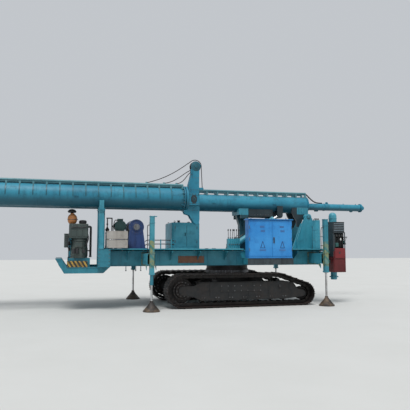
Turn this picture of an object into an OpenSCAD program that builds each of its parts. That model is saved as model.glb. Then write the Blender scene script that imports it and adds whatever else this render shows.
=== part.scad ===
// Crawler pile driver rig in travel position: the mast lies back over the
// machine, its upper section folded forward alongside the lower one.
// Millimetres. +X is the front of the machine, +Y its left side, +Z up.
// Inside the modules u runs along the machine from the rear pair of legs.

/* [Ground gear] */
// Width of one track shoe
shoe_w = 600; // [500:10:600]
// Centre distance of the two tracks
track_gauge = 2380; // [2380:10:2420]
// Outer radius of the track round the rear wheel
rear_wheel_r = 475; // [460:5:475]
// Outer radius of the track round the front wheel
front_wheel_r = 345; // [320:5:360]
// Place of the rear track wheel along the machine
rear_wheel_u = 985; // [980:5:1010]
// Place of the front track wheel along the machine
front_wheel_u = 4585; // [4540:5:4585]
// Number of shoes on one track
shoe_n = 50; // [44:1:52]
// Height of the bar across a shoe
grouser_h = 26; // [20:1:28]
// Depth of the track chain below the shoe face
chain_h = 124; // [110:2:130]
// Place of the slew centre along the machine
slew_u = 2700; // [2690:5:2710]

/* [Deck] */
// Rear end of the main deck
deck_u0 = -1100; // [-1110:5:-1090]
// Front end of the main deck
deck_u1 = 5410; // [5405:5:5420]
// Half width of the main deck
deck_hw = 930; // [920:5:935]
// Underside of the main deck
deck_z0 = 1150; // [1150:1:1155]
// Top of the main deck
deck_z1 = 1600; // [1600:1:1600]
// Reach of the side walkways from the centre line
walk_hw = 1250; // [1230:5:1260]
// Underside of the rear tray
tray_z0 = 980; // [970:5:1000]

/* [Legs] */
// Distance of the legs from the centre line
leg_v = 1770; // [1770:5:1790]
// Place of the front legs along the machine
leg_front_u = 5130; // [5120:5:5140]
// Side of the square leg housing
leg_sq = 120; // [112:2:130]
// Top of the leg housing
leg_z1 = 2470; // [2440:5:2480]
// Underside of the leg housing
leg_z0 = 950; // [940:5:980]
// Diameter of the leg rod
leg_rod_d = 60; // [50:2:64]
// Diameter of the foot
foot_d = 450; // [400:10:450]

/* [Mast] */
// Place of the mast hinge along the machine
hinge_u = 5285; // [5280:1:5290]
// Height of the mast hinge
hinge_z = 2640; // [2635:1:2645]
// Height of the axis of both mast tubes
tube_z = 3045; // [3040:1:3050]
// Outer radius of the lower mast tube
lower_r = 265; // [255:1:268]
// Outer radius of the upper mast tube
upper_r = 305; // [290:1:308]
// Wall thickness of the mast tubes
tube_t = 12; // [10:1:16]
// Foot end of the lower mast tube
lower_u1 = 5410; // [5395:5:5420]
// Place of the fold hinge along the machine
fold_u = -8500; // [-8520:5:-8480]
// Distance of the folded upper section from the centre line
upper_v = 1000; // [1000:1:1005]
// Top end of the upper mast tube, in the folded position
upper_u1 = 1120; // [1110:2:1124]
// Height of the guide rails
rail_z = 3415; // [3410:1:3420]
// Diameter of a guide rail
rail_d = 70; // [60:2:76]
// Distance of a guide rail from the mast centre
rail_v = 130; // [120:2:140]
// Spacing of the rail saddles along both sections
saddle_pitch = 332.5; // [330:0.5:334]
// Length of a rail saddle along the mast
saddle_l = 50; // [40:2:60]

/* [Backstay] */
// Distance of the stowed strut from the centre line
strut_v = 420; // [418:1:424]
// Diameter of the strut
strut_d = 230; // [220:2:240]
// Rear pivot of the strut
strut_u0 = -7500; // [-7520:5:-7480]
// Front end of the strut
strut_u1 = 7880; // [7860:5:7880]

/* [Lifting rams] */
// Lower ram pivot behind the mast hinge
ram_bu = -2400; // [-2400:1:-2400]
// Lower ram pivot below the mast hinge
ram_bz = -900; // [-900:1:-900]
// Ram eye behind the mast hinge
ram_mu = -900; // [-900:1:-900]
// Ram eye above the mast hinge
ram_mz = 50; // [50:1:50]
// Distance of each ram from the centre line
ram_v = 200; // [200:1:200]
// Outer diameter of the ram barrel
ram_d = 180; // [170:2:180]
// Diameter of the ram rod
ram_rod_d = 100; // [90:2:104]

/* [Cabinets] */
// Rear side of the electric cabinet
cab_u0 = 2890; // [2880:5:2900]
// Front side of the electric cabinet
cab_u1 = 4230; // [4220:5:4240]
// Front face of the cabinet doors, from the centre line
cab_v = 1450; // [1450:1:1455]
// Depth of the electric cabinet
cab_depth = 320; // [310:5:340]
// Underside of the electric cabinet
cab_z0 = 1360; // [1355:1:1365]
// Top of the electric cabinet
cab_z1 = 2500; // [2490:5:2510]
// Rear side of the hydraulic hood
hood_u0 = 835; // [820:5:850]
// Front side of the hydraulic hood
hood_u1 = 1675; // [1660:5:1690]
// Right side of the hydraulic hood, from the centre line
hood_hw = 600; // [560:5:600]
// Left side of the hydraulic hood, from the centre line
hood_v1 = 470; // [450:5:480]
// Top of the hydraulic hood
hood_z1 = 2400; // [2380:5:2410]

/* [Winch] */
// Place of the winch drum along the machine
winch_u = -256; // [-266:2:-246]
// Height of the winch drum
winch_z = 2230; // [2220:2:2240]
// Radius of the round winch housing
winch_r = 210; // [200:2:215]

/* [Hidden] */
x_shift = -((fold_u - 70) + strut_u1) / 2;
tv = track_gauge / 2;
tw = shoe_w / 2;
Ra = rear_wheel_r - grouser_h;
Rb = front_wheel_r - grouser_h;
Rc = 400;
// centre of the bend where the upper run leaves its roller and drops to the front wheel
carr = [3820, 2 * rear_wheel_r - grouser_h - Rc];
lz = leg_z0;
ram_b = [hinge_u + ram_bu, hinge_z + ram_bz];
ram_m = [hinge_u + ram_mu, hinge_z + ram_mz];
ram_L = norm(ram_m - ram_b);
ram_a = atan2(ram_m[1] - ram_b[1], ram_m[0] - ram_b[0]);
ram_end = 1550;
fold_v = upper_v / 2;
gap = 3;
flange_r = 380;
crown_u = 1403;
crown_z = 3978;
TEAL = [0.22, 0.56, 0.64];
TEAL_D = [0.13, 0.40, 0.45];
DARK = [0.17, 0.18, 0.19];
BLUE = [0.20, 0.55, 0.85];
NAVY = [0.14, 0.18, 0.45];
STEEL = [0.62, 0.63, 0.65];
LEGS = [[45, 1], [45, -1], [leg_front_u, 1], [leg_front_u, -1]];

// routes of the three slack ropes, from the crown down to the guide rail: [u, v, z]
function bez(a, b, c, d, n) = [for (i = [0:n]) let (t = i / n, s = 1 - t) s * s * s * a + 3 * s * s * t * b + 3 * s * t * t * c + t * t * t * d];
rope_r = 11;
sheave_v = -1100;
ROPE_L = concat(
  [for (i = [0:10]) [1600 - 3 * i, sheave_v, 3370 + 58 * i]],
  [for (a = [8:16:120]) let (r = 168 + a / 5) [crown_u + r * cos(a), sheave_v, crown_z + r * sin(a)]],
  bez([1290, sheave_v, 4135], [960, -1105, 3900], [620, -1130, 3620], [10, -1130, 3461], 26));
ROPE_M = bez([1240, -1150, 3850], [1080, -1150, 3800], [830, -1130, 3500], [500, -1130, 3461], 15);
ROPE_S = bez([1240, -1150, 3790], [1140, -1150, 3740], [1060, -1130, 3490], [860, -1130, 3461], 9);

// ---------- helpers ----------
module place() { translate([x_shift, 0, 0]) children(); }
module bx(u0, u1, v0, v1, z0, z1) { translate([u0, v0, z0]) cube([u1 - u0, v1 - v0, z1 - z0]); }
module cyu(u0, u1, v, z, r) { translate([u0, v, z]) rotate([0, 90, 0]) cylinder(h = u1 - u0, r = r, $fn = 64); }
module cyv(v0, v1, u, z, r) { translate([u, v1, z]) rotate([90, 0, 0]) cylinder(h = v1 - v0, r = r, $fn = 64); }
module cyz(z0, z1, u, v, r) { translate([u, v, z0]) cylinder(h = z1 - z0, r = r, $fn = 64); }
// outline in the (u, z) plane, from v0 to v1
module side(v0, v1, pts) { translate([0, v1, 0]) rotate([90, 0, 0]) linear_extrude(v1 - v0) polygon(pts); }
// box with round upright edges
module rbox(u0, u1, v0, v1, z0, z1, r) {
  bx(u0 + r, u1 - r, v0, v1, z0, z1);
  bx(u0, u1, v0 + r, v1 - r, z0, z1);
  for (u = [u0 + r, u1 - r], v = [v0 + r, v1 - r]) cyz(z0, z1, u, v, r);
}
function arc(c, r, a0, a1, n) = [for (i = [0:n]) let (a = a0 + (a1 - a0) * i / n) [c[0] + r * cos(a), c[1] + r * sin(a)]];

// ---------- track loop ----------
cA = [rear_wheel_u, rear_wheel_r];
cB = [front_wheel_u, front_wheel_r];
dCB = cB - carr;
aCB = atan2(dCB[1], dCB[0]) + acos((Rc - Rb) / norm(dCB));
// stations of the shoe face: [u, z, angle of the outward normal]
LOOP = concat(
  [for (i = [0:24]) let (a = -90 + (aCB + 90) * i / 24) [cB[0] + Rb * cos(a), cB[1] + Rb * sin(a), a]],
  [for (i = [0:3]) let (a = aCB + (90 - aCB) * i / 3) [carr[0] + Rc * cos(a), carr[1] + Rc * sin(a), a]],
  [for (i = [0:30]) let (a = 90 + 180 * i / 30) [cA[0] + Ra * cos(a), cA[1] + Ra * sin(a), a]],
  [[cB[0], cB[1] - Rb, 270]]);
function cum(p, i = 1, s = [0]) = i >= len(p) ? s
  : cum(p, i + 1, concat(s, [s[i - 1] + norm([p[i][0] - p[i - 1][0], p[i][1] - p[i - 1][1]])]));
SL = cum(LOOP);
TU = [for (i = [0:len(LOOP) - 1]) [SL[i], LOOP[i][0]]];
TZ = [for (i = [0:len(LOOP) - 1]) [SL[i], LOOP[i][1]]];
TA = [for (i = [0:len(LOOP) - 1]) [SL[i], LOOP[i][2]]];
LT = SL[len(SL) - 1];
pitch = LT / shoe_n;
function onloop(s, h) = let (a = lookup(s, TA)) [lookup(s, TU) + h * cos(a), lookup(s, TZ) + h * sin(a)];
// one shoe: [share of the pitch, height over the shoe face]
SHOE = [[0, -12], [0.05, 0], [0.44, 0], [0.46, 1], [0.54, 1], [0.56, 0], [0.95, 0]];
OUTER = [for (i = [0:shoe_n - 1], k = SHOE) onloop((i + k[0]) * pitch, k[1] == 1 ? grouser_h : k[1])];
function inner(h) = [for (i = [0:len(LOOP) - 2]) [LOOP[i][0] + h * cos(LOOP[i][2]), LOOP[i][1] + h * sin(LOOP[i][2])]];

module track(s) {
  color(DARK) place() {
    difference() {
      side(s * tv - tw, s * tv + tw, OUTER);
      side(s * tv - tw - 1, s * tv + tw + 1, inner(-30));
    }
    difference() {
      side(s * tv - 95, s * tv + 95, inner(-20));
      side(s * tv - 96, s * tv + 96, inner(-chain_h));
    }
  }
}
module track_left() { track(1); }
module track_right() { track(-1); }

module track_wheels(s) {
  ra = Ra - chain_h - 5;
  rb = Rb - chain_h - 5;
  color(DARK) place() {
    cyv(s * tv - 90, s * tv + 90, cA[0], cA[1], ra - 28);
    cyv(s * tv - 40, s * tv + 40, cA[0], cA[1], ra);
    cyv(s * tv - 128, s * tv + 128, cA[0], cA[1], 75);
    cyv(s * tv - 90, s * tv + 90, cB[0], cB[1], rb);
    cyv(s * tv - 128, s * tv + 128, cB[0], cB[1], 60);
    // bottom rollers
    for (i = [0:6]) cyv(s * tv - 125, s * tv + 125, 1560 + i * 405, 240, 82);
    // upper rollers
    for (u = [1900, 3820]) cyv(s * tv - 88, s * tv + 88, u, 752, 42);
  }
}
module track_wheels_left() { track_wheels(1); }
module track_wheels_right() { track_wheels(-1); }

module track_frame(s) {
  color(TEAL_D) place() difference() {
    union() {
      bx(1420, 3950, s * tv - 130, s * tv + 130, 335, 690);
      for (v = [s * tv - 170, s * tv + 130])
        side(v, v + 40, concat([[4585, 255]], arc([4585, 345], 90, -90, 90, 8), [[4430, 470], [4290, 650], [4100, 700]],
          [[1500, 700], [1300, 600]], arc([985, 475], 120, 90, 270, 8), [[1300, 300], [1500, 200], [4100, 200]]));
      // stands of the upper rollers
      for (u = [1900, 3820], v = [s * tv - 130, s * tv + 90])
        side(v, v + 40, [[u - 80, 690], [u + 80, 690], [u + 35, 770], [u - 35, 770]]);
    }
    for (u = [1900, 3820]) cyv(s * tv - 89, s * tv + 89, u, 752, 60);
  }
}
module track_frame_left() { track_frame(1); }
module track_frame_right() { track_frame(-1); }

module carbody() {
  color(TEAL_D) place() difference() {
    union() {
      bx(slew_u - 560, slew_u + 560, -560, 560, 430, 870);
      for (s = [-1, 1]) {
        // four arms to the track frames
        for (u = [slew_u - 560, slew_u + 260]) bx(u, u + 300, min(s * 560, s * (tv - 170)), max(s * 560, s * (tv - 170)), 370, 680);
        bx(slew_u - 560, slew_u + 560, min(s * 560, s * 700), max(s * 560, s * 700), 430, 800);
      }
      cyz(870, 905, slew_u, 0, 650);
    }
    cyz(380, 910, slew_u, 0, 400);
    bx(slew_u - 520, slew_u + 520, -520, 520, 400, 840);
  }
}
module slew_ring() {
  color(STEEL) place() difference() {
    cyz(905, 1030, slew_u, 0, 650);
    cyz(904, 1031, slew_u, 0, 505);
  }
}
module turntable() {
  color(STEEL) place() difference() {
    union() { cyz(1037, deck_z0, slew_u, 0, 630); cyz(960, 1040, slew_u, 0, 495); }
    cyz(950, deck_z0 + 1, slew_u, 0, 430);
  }
}

// ---------- platform ----------
// cross members of the deck
RIBS = [deck_u0, -100, 1000, 2000, 3400, 4300, deck_u1];
module main_deck() {
  t = 25;
  color(TEAL_D) place() difference() {
    bx(deck_u0, deck_u1, -deck_hw, deck_hw, deck_z0, deck_z1);
    for (i = [0:len(RIBS) - 2], v = [[-deck_hw + t, -465], [-435, 435], [465, deck_hw - t]])
      if (i != 3) bx(RIBS[i] + t, RIBS[i + 1] - t, v[0], v[1], deck_z0 + t, deck_z1 - t);
    // bay over the slew ring, closed below round the ring
    bx(RIBS[3] + t, RIBS[4] - t, -deck_hw + t, deck_hw - t, deck_z0 + t, deck_z1 - t);
    cyz(deck_z0 - 1, deck_z0 + t + 1, slew_u, 0, 430);
  }
}
module rear_tray() {
  out = [[-2390, 1370], [-2160, tray_z0], [-1150, tray_z0], [-968, deck_z0], [-2090, deck_z0], [-2235, 1370]];
  color(TEAL) place() {
    difference() {
      side(-1150, 1150, out);
      bx(-2060, -1150, -1120, 1120, tray_z0 + 30, 1500);
    }
    // engine skids
    for (v = [-1060, -800, 800, 960]) bx(-2060, -1500, v, v + 60, tray_z0 + 30, 1380);
    // striped board beside the engine
    bx(-2087, -1573, -1160, -1120, 1151, 1300);
  }
}
module side_walkways() {
  color(TEAL) place() for (s = [-1, 1]) {
    for (r = [[-1000, 2800], [4300, deck_u1]])
      bx(r[0], r[1], min(s * deck_hw, s * walk_hw), max(s * deck_hw, s * walk_hw), deck_z1 - 35, deck_z1);
    for (u = [-500, 700, 1500, 2300, 4500])
      translate([u, 0, 0]) rotate([90, 0, 90]) linear_extrude(12)
        polygon([[s * deck_hw, deck_z1 - 35], [s * walk_hw, deck_z1 - 35], [s * walk_hw, deck_z1 - 70], [s * deck_hw, deck_z1 - 300]]);
  }
  // shelf under the electric cabinet
  color(TEAL) place() bx(cab_u0 - 40, cab_u1 + 40, -1430, -deck_hw, deck_z0 + 30, cab_z0);
}
module leg_beams() {
  color(TEAL) place() for (l = LEGS) {
    v0 = l[1] * deck_hw; v1 = l[1] * (leg_v - leg_sq / 2);
    difference() {
      bx(l[0] - 120, l[0] + 120, min(v0, v1), max(v0, v1), 1200, 1500);
      bx(l[0] - 105, l[0] + 105, min(v0, v1) - 1, max(v0, v1) + 1, 1215, 1485);
    }
  }
}
module leg_housings() {
  color(TEAL) place() for (l = LEGS) difference() {
    h = leg_sq / 2; v = l[1] * leg_v;
    union() {
      bx(l[0] - h, l[0] + h, v - h, v + h, lz, leg_z1);
      bx(l[0] - h - 8, l[0] + h + (l[0] < 100 ? 62 : 8), v - h - 8, v + h + 8, leg_z1, leg_z1 + 16);
      bx(l[0] - h - 8, l[0] + h + 8, v - h - 8, v + h + 8, lz, lz + 40);
    }
    cyz(lz - 1, leg_z1 - 10, l[0], v, 48);
  }
}
module jack(l) {
  color(STEEL) place() {
    v = l[1] * leg_v;
    cyz(200, 1650, l[0], v, leg_rod_d / 2);
    // inner tube of the leg
    cyz(l[0] < 100 && l[1] < 0 ? 680 : 930, 1750, l[0], v, 46);
    cyz(0, 30, l[0], v, foot_d / 2);
    translate([l[0], v, 30]) cylinder(h = 200, r1 = foot_d / 2 - 12, r2 = 52, $fn = 64);
    cyz(225, 275, l[0], v, 48);
  }
}
module jack_rear_left() { jack(LEGS[0]); }
module jack_rear_right() { jack(LEGS[1]); }
module jack_front_left() { jack(LEGS[2]); }
module jack_front_right() { jack(LEGS[3]); }

module mast_rest_rear() {
  color(TEAL) place() {
    bx(-1315, -1000, -1447, -deck_hw, deck_z0, 1620);
    bx(-1297, -1183, -1447, -1333, 1620, 2640);
    // column under the lower section
    difference() {
      union() {
        bx(-1250, -1110 + 60, -100, 100, deck_z1 - 450, tube_z - lower_r - 40);
        bx(-1250, -1050, -170, 170, tube_z - lower_r - 60, tube_z - lower_r + 60);
      }
      cyu(-1300, -1000, 0, tube_z, lower_r + 6);
      bx(deck_u0, -1000, -101, 101, deck_z0 - 1, deck_z1);
    }
  }
}
module mast_rest_front() {
  z1 = tube_z - lower_r;
  color(TEAL_D) place() difference() {
    union() {
      // column with a haunch on its rear side
      bx(3100, 3290, -95, 95, deck_z1, z1 - 60);
      bx(3060, 3300, -140, 140, deck_z1, deck_z1 + 25);
      side(-80, 80, [[3101, 2350], [3101, 2770], [2990, 2770], [2990, 2700]]);
      // saddle under the lower section, with a cheek on each side
      bx(2990, 3300, -330, 330, z1 - 100, z1 + 90);
      for (s = [-1, 1]) bx(3040, 3300, s * 300 - 30, s * 300 + 30, z1 - 215, z1 + 90);
    }
    cyu(2980, 3310, 0, tube_z, lower_r + 6);
  }
}
module mast_pedestals() {
  ped = concat([[4870, deck_z1], [deck_u1, deck_z1], [deck_u1, hinge_z - 60]],
    arc([hinge_u, hinge_z], 95, -10, 150, 9), [[5072, 2470], [4870, 1910]]);
  color(TEAL) place() {
    for (s = [-1, 1]) difference() {
      union() {
        side(s * 450 - 25, s * 450 + 25, ped);
        cyv(min(s * 270, s * 426), max(s * 270, s * 426), hinge_u, hinge_z, 90);
        // foot flange
        bx(4870, deck_u1, min(s * 474, s * 560), max(s * 474, s * 560), deck_z1, deck_z1 + 25);
        // brace behind the plate
        side(s * 360 - 30, s * 360 + 30, [[4740, deck_z1], [4840, deck_z1], [5120, 2400], [5060, 2440]]);
        bx(4860, 4920, min(s * 380, s * 430), max(s * 380, s * 430), deck_z1, 1890);
      }
      cyv(-600, 600, hinge_u, hinge_z, 50.5);
    }
    // tie between the two plates
    bx(5330, deck_u1, -425, 425, deck_z1, 2100);
  }
}
module ram_brackets() {
  color(TEAL_D) place() for (s = [-1, 1], k = [-1, 1]) {
    v = s * ram_v + k * 75;
    difference() {
      side(v - 15, v + 15, concat([[ram_b[0] - 150, deck_z1], [ram_b[0] + 150, deck_z1]], arc(ram_b, 75, 0, 180, 10)));
      cyv(v - 16, v + 16, ram_b[0], ram_b[1], 40.5);
    }
  }
}
module raise_barrels() {
  color(TEAL) place() for (s = [-1, 1]) translate([ram_b[0], s * ram_v, ram_b[1]]) rotate([0, -ram_a, 0]) {
    difference() {
      union() {
        translate([100, 0, 0]) rotate([0, 90, 0]) cylinder(h = ram_end - 100, r = ram_d / 2, $fn = 64);
        rotate([0, 90, 0]) cylinder(h = 110, r = 46, $fn = 64);
        translate([0, 50, 0]) rotate([90, 0, 0]) cylinder(h = 100, r = 78, $fn = 64);
        translate([0, 95, 0]) rotate([90, 0, 0]) cylinder(h = 190, r = 40, $fn = 64);
      }
      translate([130, 0, 0]) rotate([0, 90, 0]) cylinder(h = ram_end - 130 - 80, r = 72, $fn = 64);
      translate([130, 0, 0]) rotate([0, 90, 0]) cylinder(h = ram_end, r = ram_rod_d / 2 + 1, $fn = 64);
    }
  }
}
module raise_rods() {
  color(STEEL) place() for (s = [-1, 1]) translate([ram_b[0], s * ram_v, ram_b[1]]) rotate([0, -ram_a, 0]) {
    difference() {
      union() {
        translate([135, 0, 0]) rotate([0, 90, 0]) cylinder(h = 70, r = 69, $fn = 64);
        translate([150, 0, 0]) rotate([0, 90, 0]) cylinder(h = ram_L - 150, r = ram_rod_d / 2, $fn = 64);
        translate([ram_L, 40, 0]) rotate([90, 0, 0]) cylinder(h = 80, r = 70, $fn = 64);
      }
      translate([ram_L, 41, 0]) rotate([90, 0, 0]) cylinder(h = 82, r = 36, $fn = 64);
    }
  }
}

module hydraulic_hood() {
  t = 25;
  color(TEAL) place() difference() {
    rbox(hood_u0, hood_u1, -hood_hw, hood_v1, deck_z1, hood_z1, 90);
    bx(hood_u0 + t, hood_u1 - t, -hood_hw + t, hood_v1 - t, deck_z1 + t, hood_z1 - t);
  }
}
module electric_cabinet() {
  v1 = -cab_v + cab_depth;   // back
  v0 = -cab_v + 40;          // front edge of the box
  color(BLUE) place() {
    difference() {
      bx(cab_u0, cab_u1, v0, v1, cab_z0, cab_z1 - 40);
      bx(cab_u0 + 30, cab_u1 - 30, v0 - 1, v1 - 30, cab_z0 + 35, cab_z1 - 70);
    }
    bx(cab_u0 - 30, cab_u1 + 30, -cab_v - 30, v1 + 15, cab_z1 - 40, cab_z1);
    bx(cab_u0, cab_u1, -cab_v - 5, v0, cab_z0, cab_z0 + 32);
  }
}
cab_mid = (cab_u0 + cab_u1) / 2 + 48;
module cabinet_door_rear() {
  color(BLUE) place() {
    bx(cab_u0 + 5, cab_mid - 3, -cab_v, -cab_v + 35, cab_z0 + 40, cab_z1 - 50);
    for (z = [cab_z0 + 200, cab_z1 - 300]) cyz(z, z + 90, cab_u0 + 8, -cab_v - 2, 9);
  }
}
module cabinet_door_front() {
  color(BLUE) place() {
    bx(cab_mid + 3, cab_u1 - 5, -cab_v, -cab_v + 35, cab_z0 + 40, cab_z1 - 50);
    for (z = [cab_z0 + 200, cab_z1 - 300]) cyz(z, z + 90, cab_u1 - 8, -cab_v - 2, 9);
  }
}

module winch_frame() {
  color(NAVY) place() {
    difference() {
      union() {
        for (v = [-980, -220]) {
          cyv(v, v + 120, winch_u, winch_z, winch_r);
          side(v, v + 120, [[winch_u - 235, 1650], [winch_u + 255, 1650], [winch_u + 185, 2150], [winch_u - 190, 2150]]);
        }
        bx(winch_u - 300, winch_u + 300, -1000, -80, deck_z1, 1650);
      }
      cyv(-1100, 0, winch_u, winch_z, 40.5);
    }
  }
}
module winch_drum() {
  color(STEEL) place() {
    cyv(-1005, -75, winch_u, winch_z, 40);
    cyv(-850, -230, winch_u, winch_z, 130);
    for (v = [-850, -255]) cyv(v, v + 25, winch_u, winch_z, 195);
  }
}
module winch_motor() {
  color([0.12, 0.32, 0.30]) place() {
    cyv(-900, -430, -675, 2255, 165);
    cyv(-430, -330, -675, 2255, 120);
    bx(-815, -560, -880, -450, deck_z1, 2110);
    bx(-745, -605, -760, -640, 2405, 2460);
  }
}
module winch_brake() {
  color(DARK) place() {
    bx(-1085, -865, -700, -500, deck_z1, 1660);
    // thruster, its rod and the lever
    cyz(1660, 2230, -1020, -600, 55);
    cyz(2230, 2480, -1020, -600, 22);
    bx(-1045, -880, -615, -585, 2470, 2500);
    bx(-905, -880, -640, -560, 1660, 2500);
  }
}
module resistor_boxes() {
  color([0.68, 0.66, 0.62]) place() {
    bx(-1085, -536, -1350, -1030, 1650, 1868);
    bx(-1085, -536, -1350, -1030, 1888, 2100);
    for (u = [-1060, -600]) bx(u, u + 40, -1340, -1040, 1868, 1888);
    for (u = [-1000, -620]) bx(u, u + 60, -1240, -1040, deck_z1, 1650);
  }
}
module engine() {
  color(DARK) place() {
    cyz(1380, 1910, -1780, -900, 220);
    rbox(-2059, -1555, -1140, -660, 1910, 2284, 60);
    cyz(2284, 2400, -1700, -900, 100);
    bx(-2000, -1600, -1040, -760, 1380, 1440);
  }
}
module air_cleaner() {
  color([0.78, 0.46, 0.20]) place() {
    cyz(2284, 2330, -1975, -900, 60);
    cyz(2330, 2567, -1975, -900, 120);
    cyz(2567, 2640, -1985, -900, 38);
    cyz(2625, 2695, -1990, -900, 116);
  }
}
module exhaust_pipe() {
  color(DARK) place() {
    cyz(1400, 2240, -1485, -900, 34);
    cyu(-1555, -1500, -900, 2222, 32);
  }
}
module fuel_tank() {
  color(TEAL_D) place() difference() {
    rbox(-2040, -1560, 280, 1080, 1380, 1960, 60);
    bx(-2020, -1580, 300, 1060, 1400, 1940);
  }
}
module cooler_box() {
  color(TEAL_D) place() {
    difference() {
      bx(5130, 5285, -1190, -1000, deck_z1, 2500);
      bx(5148, 5267, -1172, -1018, deck_z1 + 18, 2482);
    }
    for (u = [5154, 5207, 5260]) cyz(2500, 2545, u, -1150, 15);
  }
}
module control_console() {
  color([0.45, 0.13, 0.15]) place() {
    difference() {
      bx(5600, 6010, -1400, -1040, 930, 2130);
      bx(5625, 5985, -1375, -1065, 955, 2105);
    }
    bx(5610, 6000, -1395, -1045, 2130, 2440);
    // carrying arms from the deck
    for (z = [1200, 1480]) bx(deck_u1, 5600, -1200, -1100, z, z + 80);
    bx(deck_u1, 5440, -1200, -deck_hw, 1280, 1480);
  }
}
module pump_column() {
  u = 5885; v = -905; r = 122;
  color(TEAL) place() {
    cyz(930, 2640, u, v, r);
    translate([u, v, 2640]) intersection() {
      sphere(r = r, $fn = 48);
      cylinder(h = r + 5, r = r + 1, $fn = 48);
    }
    cyz(690, 930, u, v, 95);
    cyz(760, 785, u, v, 140);
    bx(deck_u1, u - 80, -920, -870, 1250, 1350);
    bx(deck_u1, u - 80, -920, -870, 1450, 1550);
  }
}

// ---------- mast ----------
module tube_ring(u0, u1, v, r) {
  difference() {
    cyu(u0, u1, v, tube_z, r);
    cyu(u0 - 1, u1 + 1, v, tube_z, r - tube_t);
  }
}
module mast_lower_tube() {
  color(TEAL) place() difference() {
    union() {
      cyu(fold_u + gap, lower_u1, 0, tube_z, lower_r);
      cyu(fold_u + gap, fold_u + gap + 32, 0, tube_z, flange_r);
      cyu(lower_u1 - 25, lower_u1, 0, tube_z, lower_r + 25);
      // fold lugs: [z]
      for (z = [2800, 2960, 3120, 3280]) {
        cyz(z, z + 50, fold_u, -fold_v, 70);
        bx(fold_u + gap, fold_u + 130, -fold_v, -lower_r + 60, z, z + 50);
      }
    }
    cyu(fold_u + 35, lower_u1 - 20, 0, tube_z, lower_r - tube_t);
    cyz(2700, 3400, fold_u, -fold_v, 30.5);
  }
}
// two round rails on saddles: u0, u1 ends of the rails, c0 centre of the first saddle, n saddles, r tube radius
module rails(v, u0, u1, c0, n, r, web) {
  difference() {
    union() {
      for (s = [-1, 1]) {
        cyu(u0, u1, v + s * rail_v, rail_z, rail_d / 2);
        bx(u0, u1, v + s * rail_v - 14, v + s * rail_v + 14, rail_z - 52, rail_z - 30);
      }
      if (web) bx(u0, u1, v - 6, v + 6, tube_z + 250, rail_z - 16);
      for (i = [0:n - 1]) bx(c0 + i * saddle_pitch - saddle_l / 2, c0 + i * saddle_pitch + saddle_l / 2, v - rail_v - 25, v + rail_v + 25, tube_z + 200, rail_z - 15);
    }
    cyu(u0 - 1, u1 + 1, v, tube_z, r);
    for (s = [-1, 1]) cyu(u0 - 1, u1 + 1, v + s * rail_v, rail_z, rail_d / 2 - 9);
  }
}
module mast_lower_rails() {
  color(TEAL) place() {
    rails(0, fold_u + 60, lower_u1 - 50, 2356 - 32 * saddle_pitch, 41, lower_r, false);
    // end plate with a slanted front
    difference() {
      side(-rail_v - 25, rail_v + 25, [[5290, tube_z + 200], [lower_u1 - 26, tube_z + 200], [lower_u1 - 26, tube_z + 260], [lower_u1 - 52, rail_z + 30], [lower_u1 - 70, rail_z + 30]]);
      cyu(5280, 5600, 0, tube_z, lower_r);
      for (s = [-1, 1]) cyu(5280, 5600, s * rail_v, rail_z, rail_d / 2 - 0.5);
      bx(5280, 5600, -rail_v + 25, rail_v - 25, tube_z + 100, 3600);
    }
  }
}
module mast_upper_rails() {
  color(TEAL) place() {
    rails(-upper_v, fold_u + 60, 1032, 1006 - 28 * saddle_pitch, 29, upper_r, true);
    // clamps that hold the ends of the slack ropes
    for (q = [ROPE_L, ROPE_M, ROPE_S]) let (e = q[len(q) - 1]) bx(e[0] - 50, e[0], e[1] - 18, e[1] + 18, 3430, 3480);
  }
}
module mast_heel() {
  color(TEAL_D) place() {
    difference() {
      union() {
        // hinge ears
        for (s = [-1, 1]) side(s * 220 - 25, s * 220 + 25,
          concat([[5384, 2950], [4815, 2950], [4815, 2837], [4865, 2680], [4970, 2520], [4975, 2335], [5085, 2325]], arc([hinge_u, hinge_z], 95, 210, 350, 10), [[5384, 2790]]));
        // spine between the front rest and the rams, with a box on each side
        bx(3320, 4480, -104, 104, 2610, 2900);
        bx(3320, 4170, -200, 200, 2650, 2900);
        // lugs over the ram eyes
        for (s = [-1, 1], k = [-1, 1]) side(s * ram_v + k * 76 - 15, s * ram_v + k * 76 + 15,
          concat([[4480, 2980], [4290, 2980]], arc(ram_m, 92, 180, 360, 10)));
        bx(4420, 4480, -291, 291, 2800, 2980);
      }
      cyu(3300, 5600, 0, tube_z, lower_r);
    }
    cyv(-500, 500, hinge_u, hinge_z, 50);
  }
}
module strut() {
  r = strut_d / 2;
  color(TEAL) place() {
    difference() {
      cyu(strut_u0 + 90, strut_u1 - 140, strut_v, tube_z, r);
      cyu(strut_u0 + 89, strut_u1 - 139, strut_v, tube_z, r - 10);
    }
    cyu(strut_u1 - 180, strut_u1 - 130, strut_v, tube_z, r + 30);
    difference() {
      union() {
        bx(strut_u1 - 130, strut_u1 - 70, strut_v - 30, strut_v + 30, tube_z - 70, tube_z + 70);
        cyv(strut_v - 30, strut_v + 30, strut_u1 - 75, tube_z, 75);
      }
      cyv(strut_v - 31, strut_v + 31, strut_u1 - 75, tube_z, 32);
    }
    bx(strut_u0, strut_u0 + 110, strut_v - 30, strut_v + 30, tube_z - 70, tube_z + 70);
    cyu(strut_u0 + 70, strut_u0 + 110, strut_v, tube_z, r);
  }
}
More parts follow.
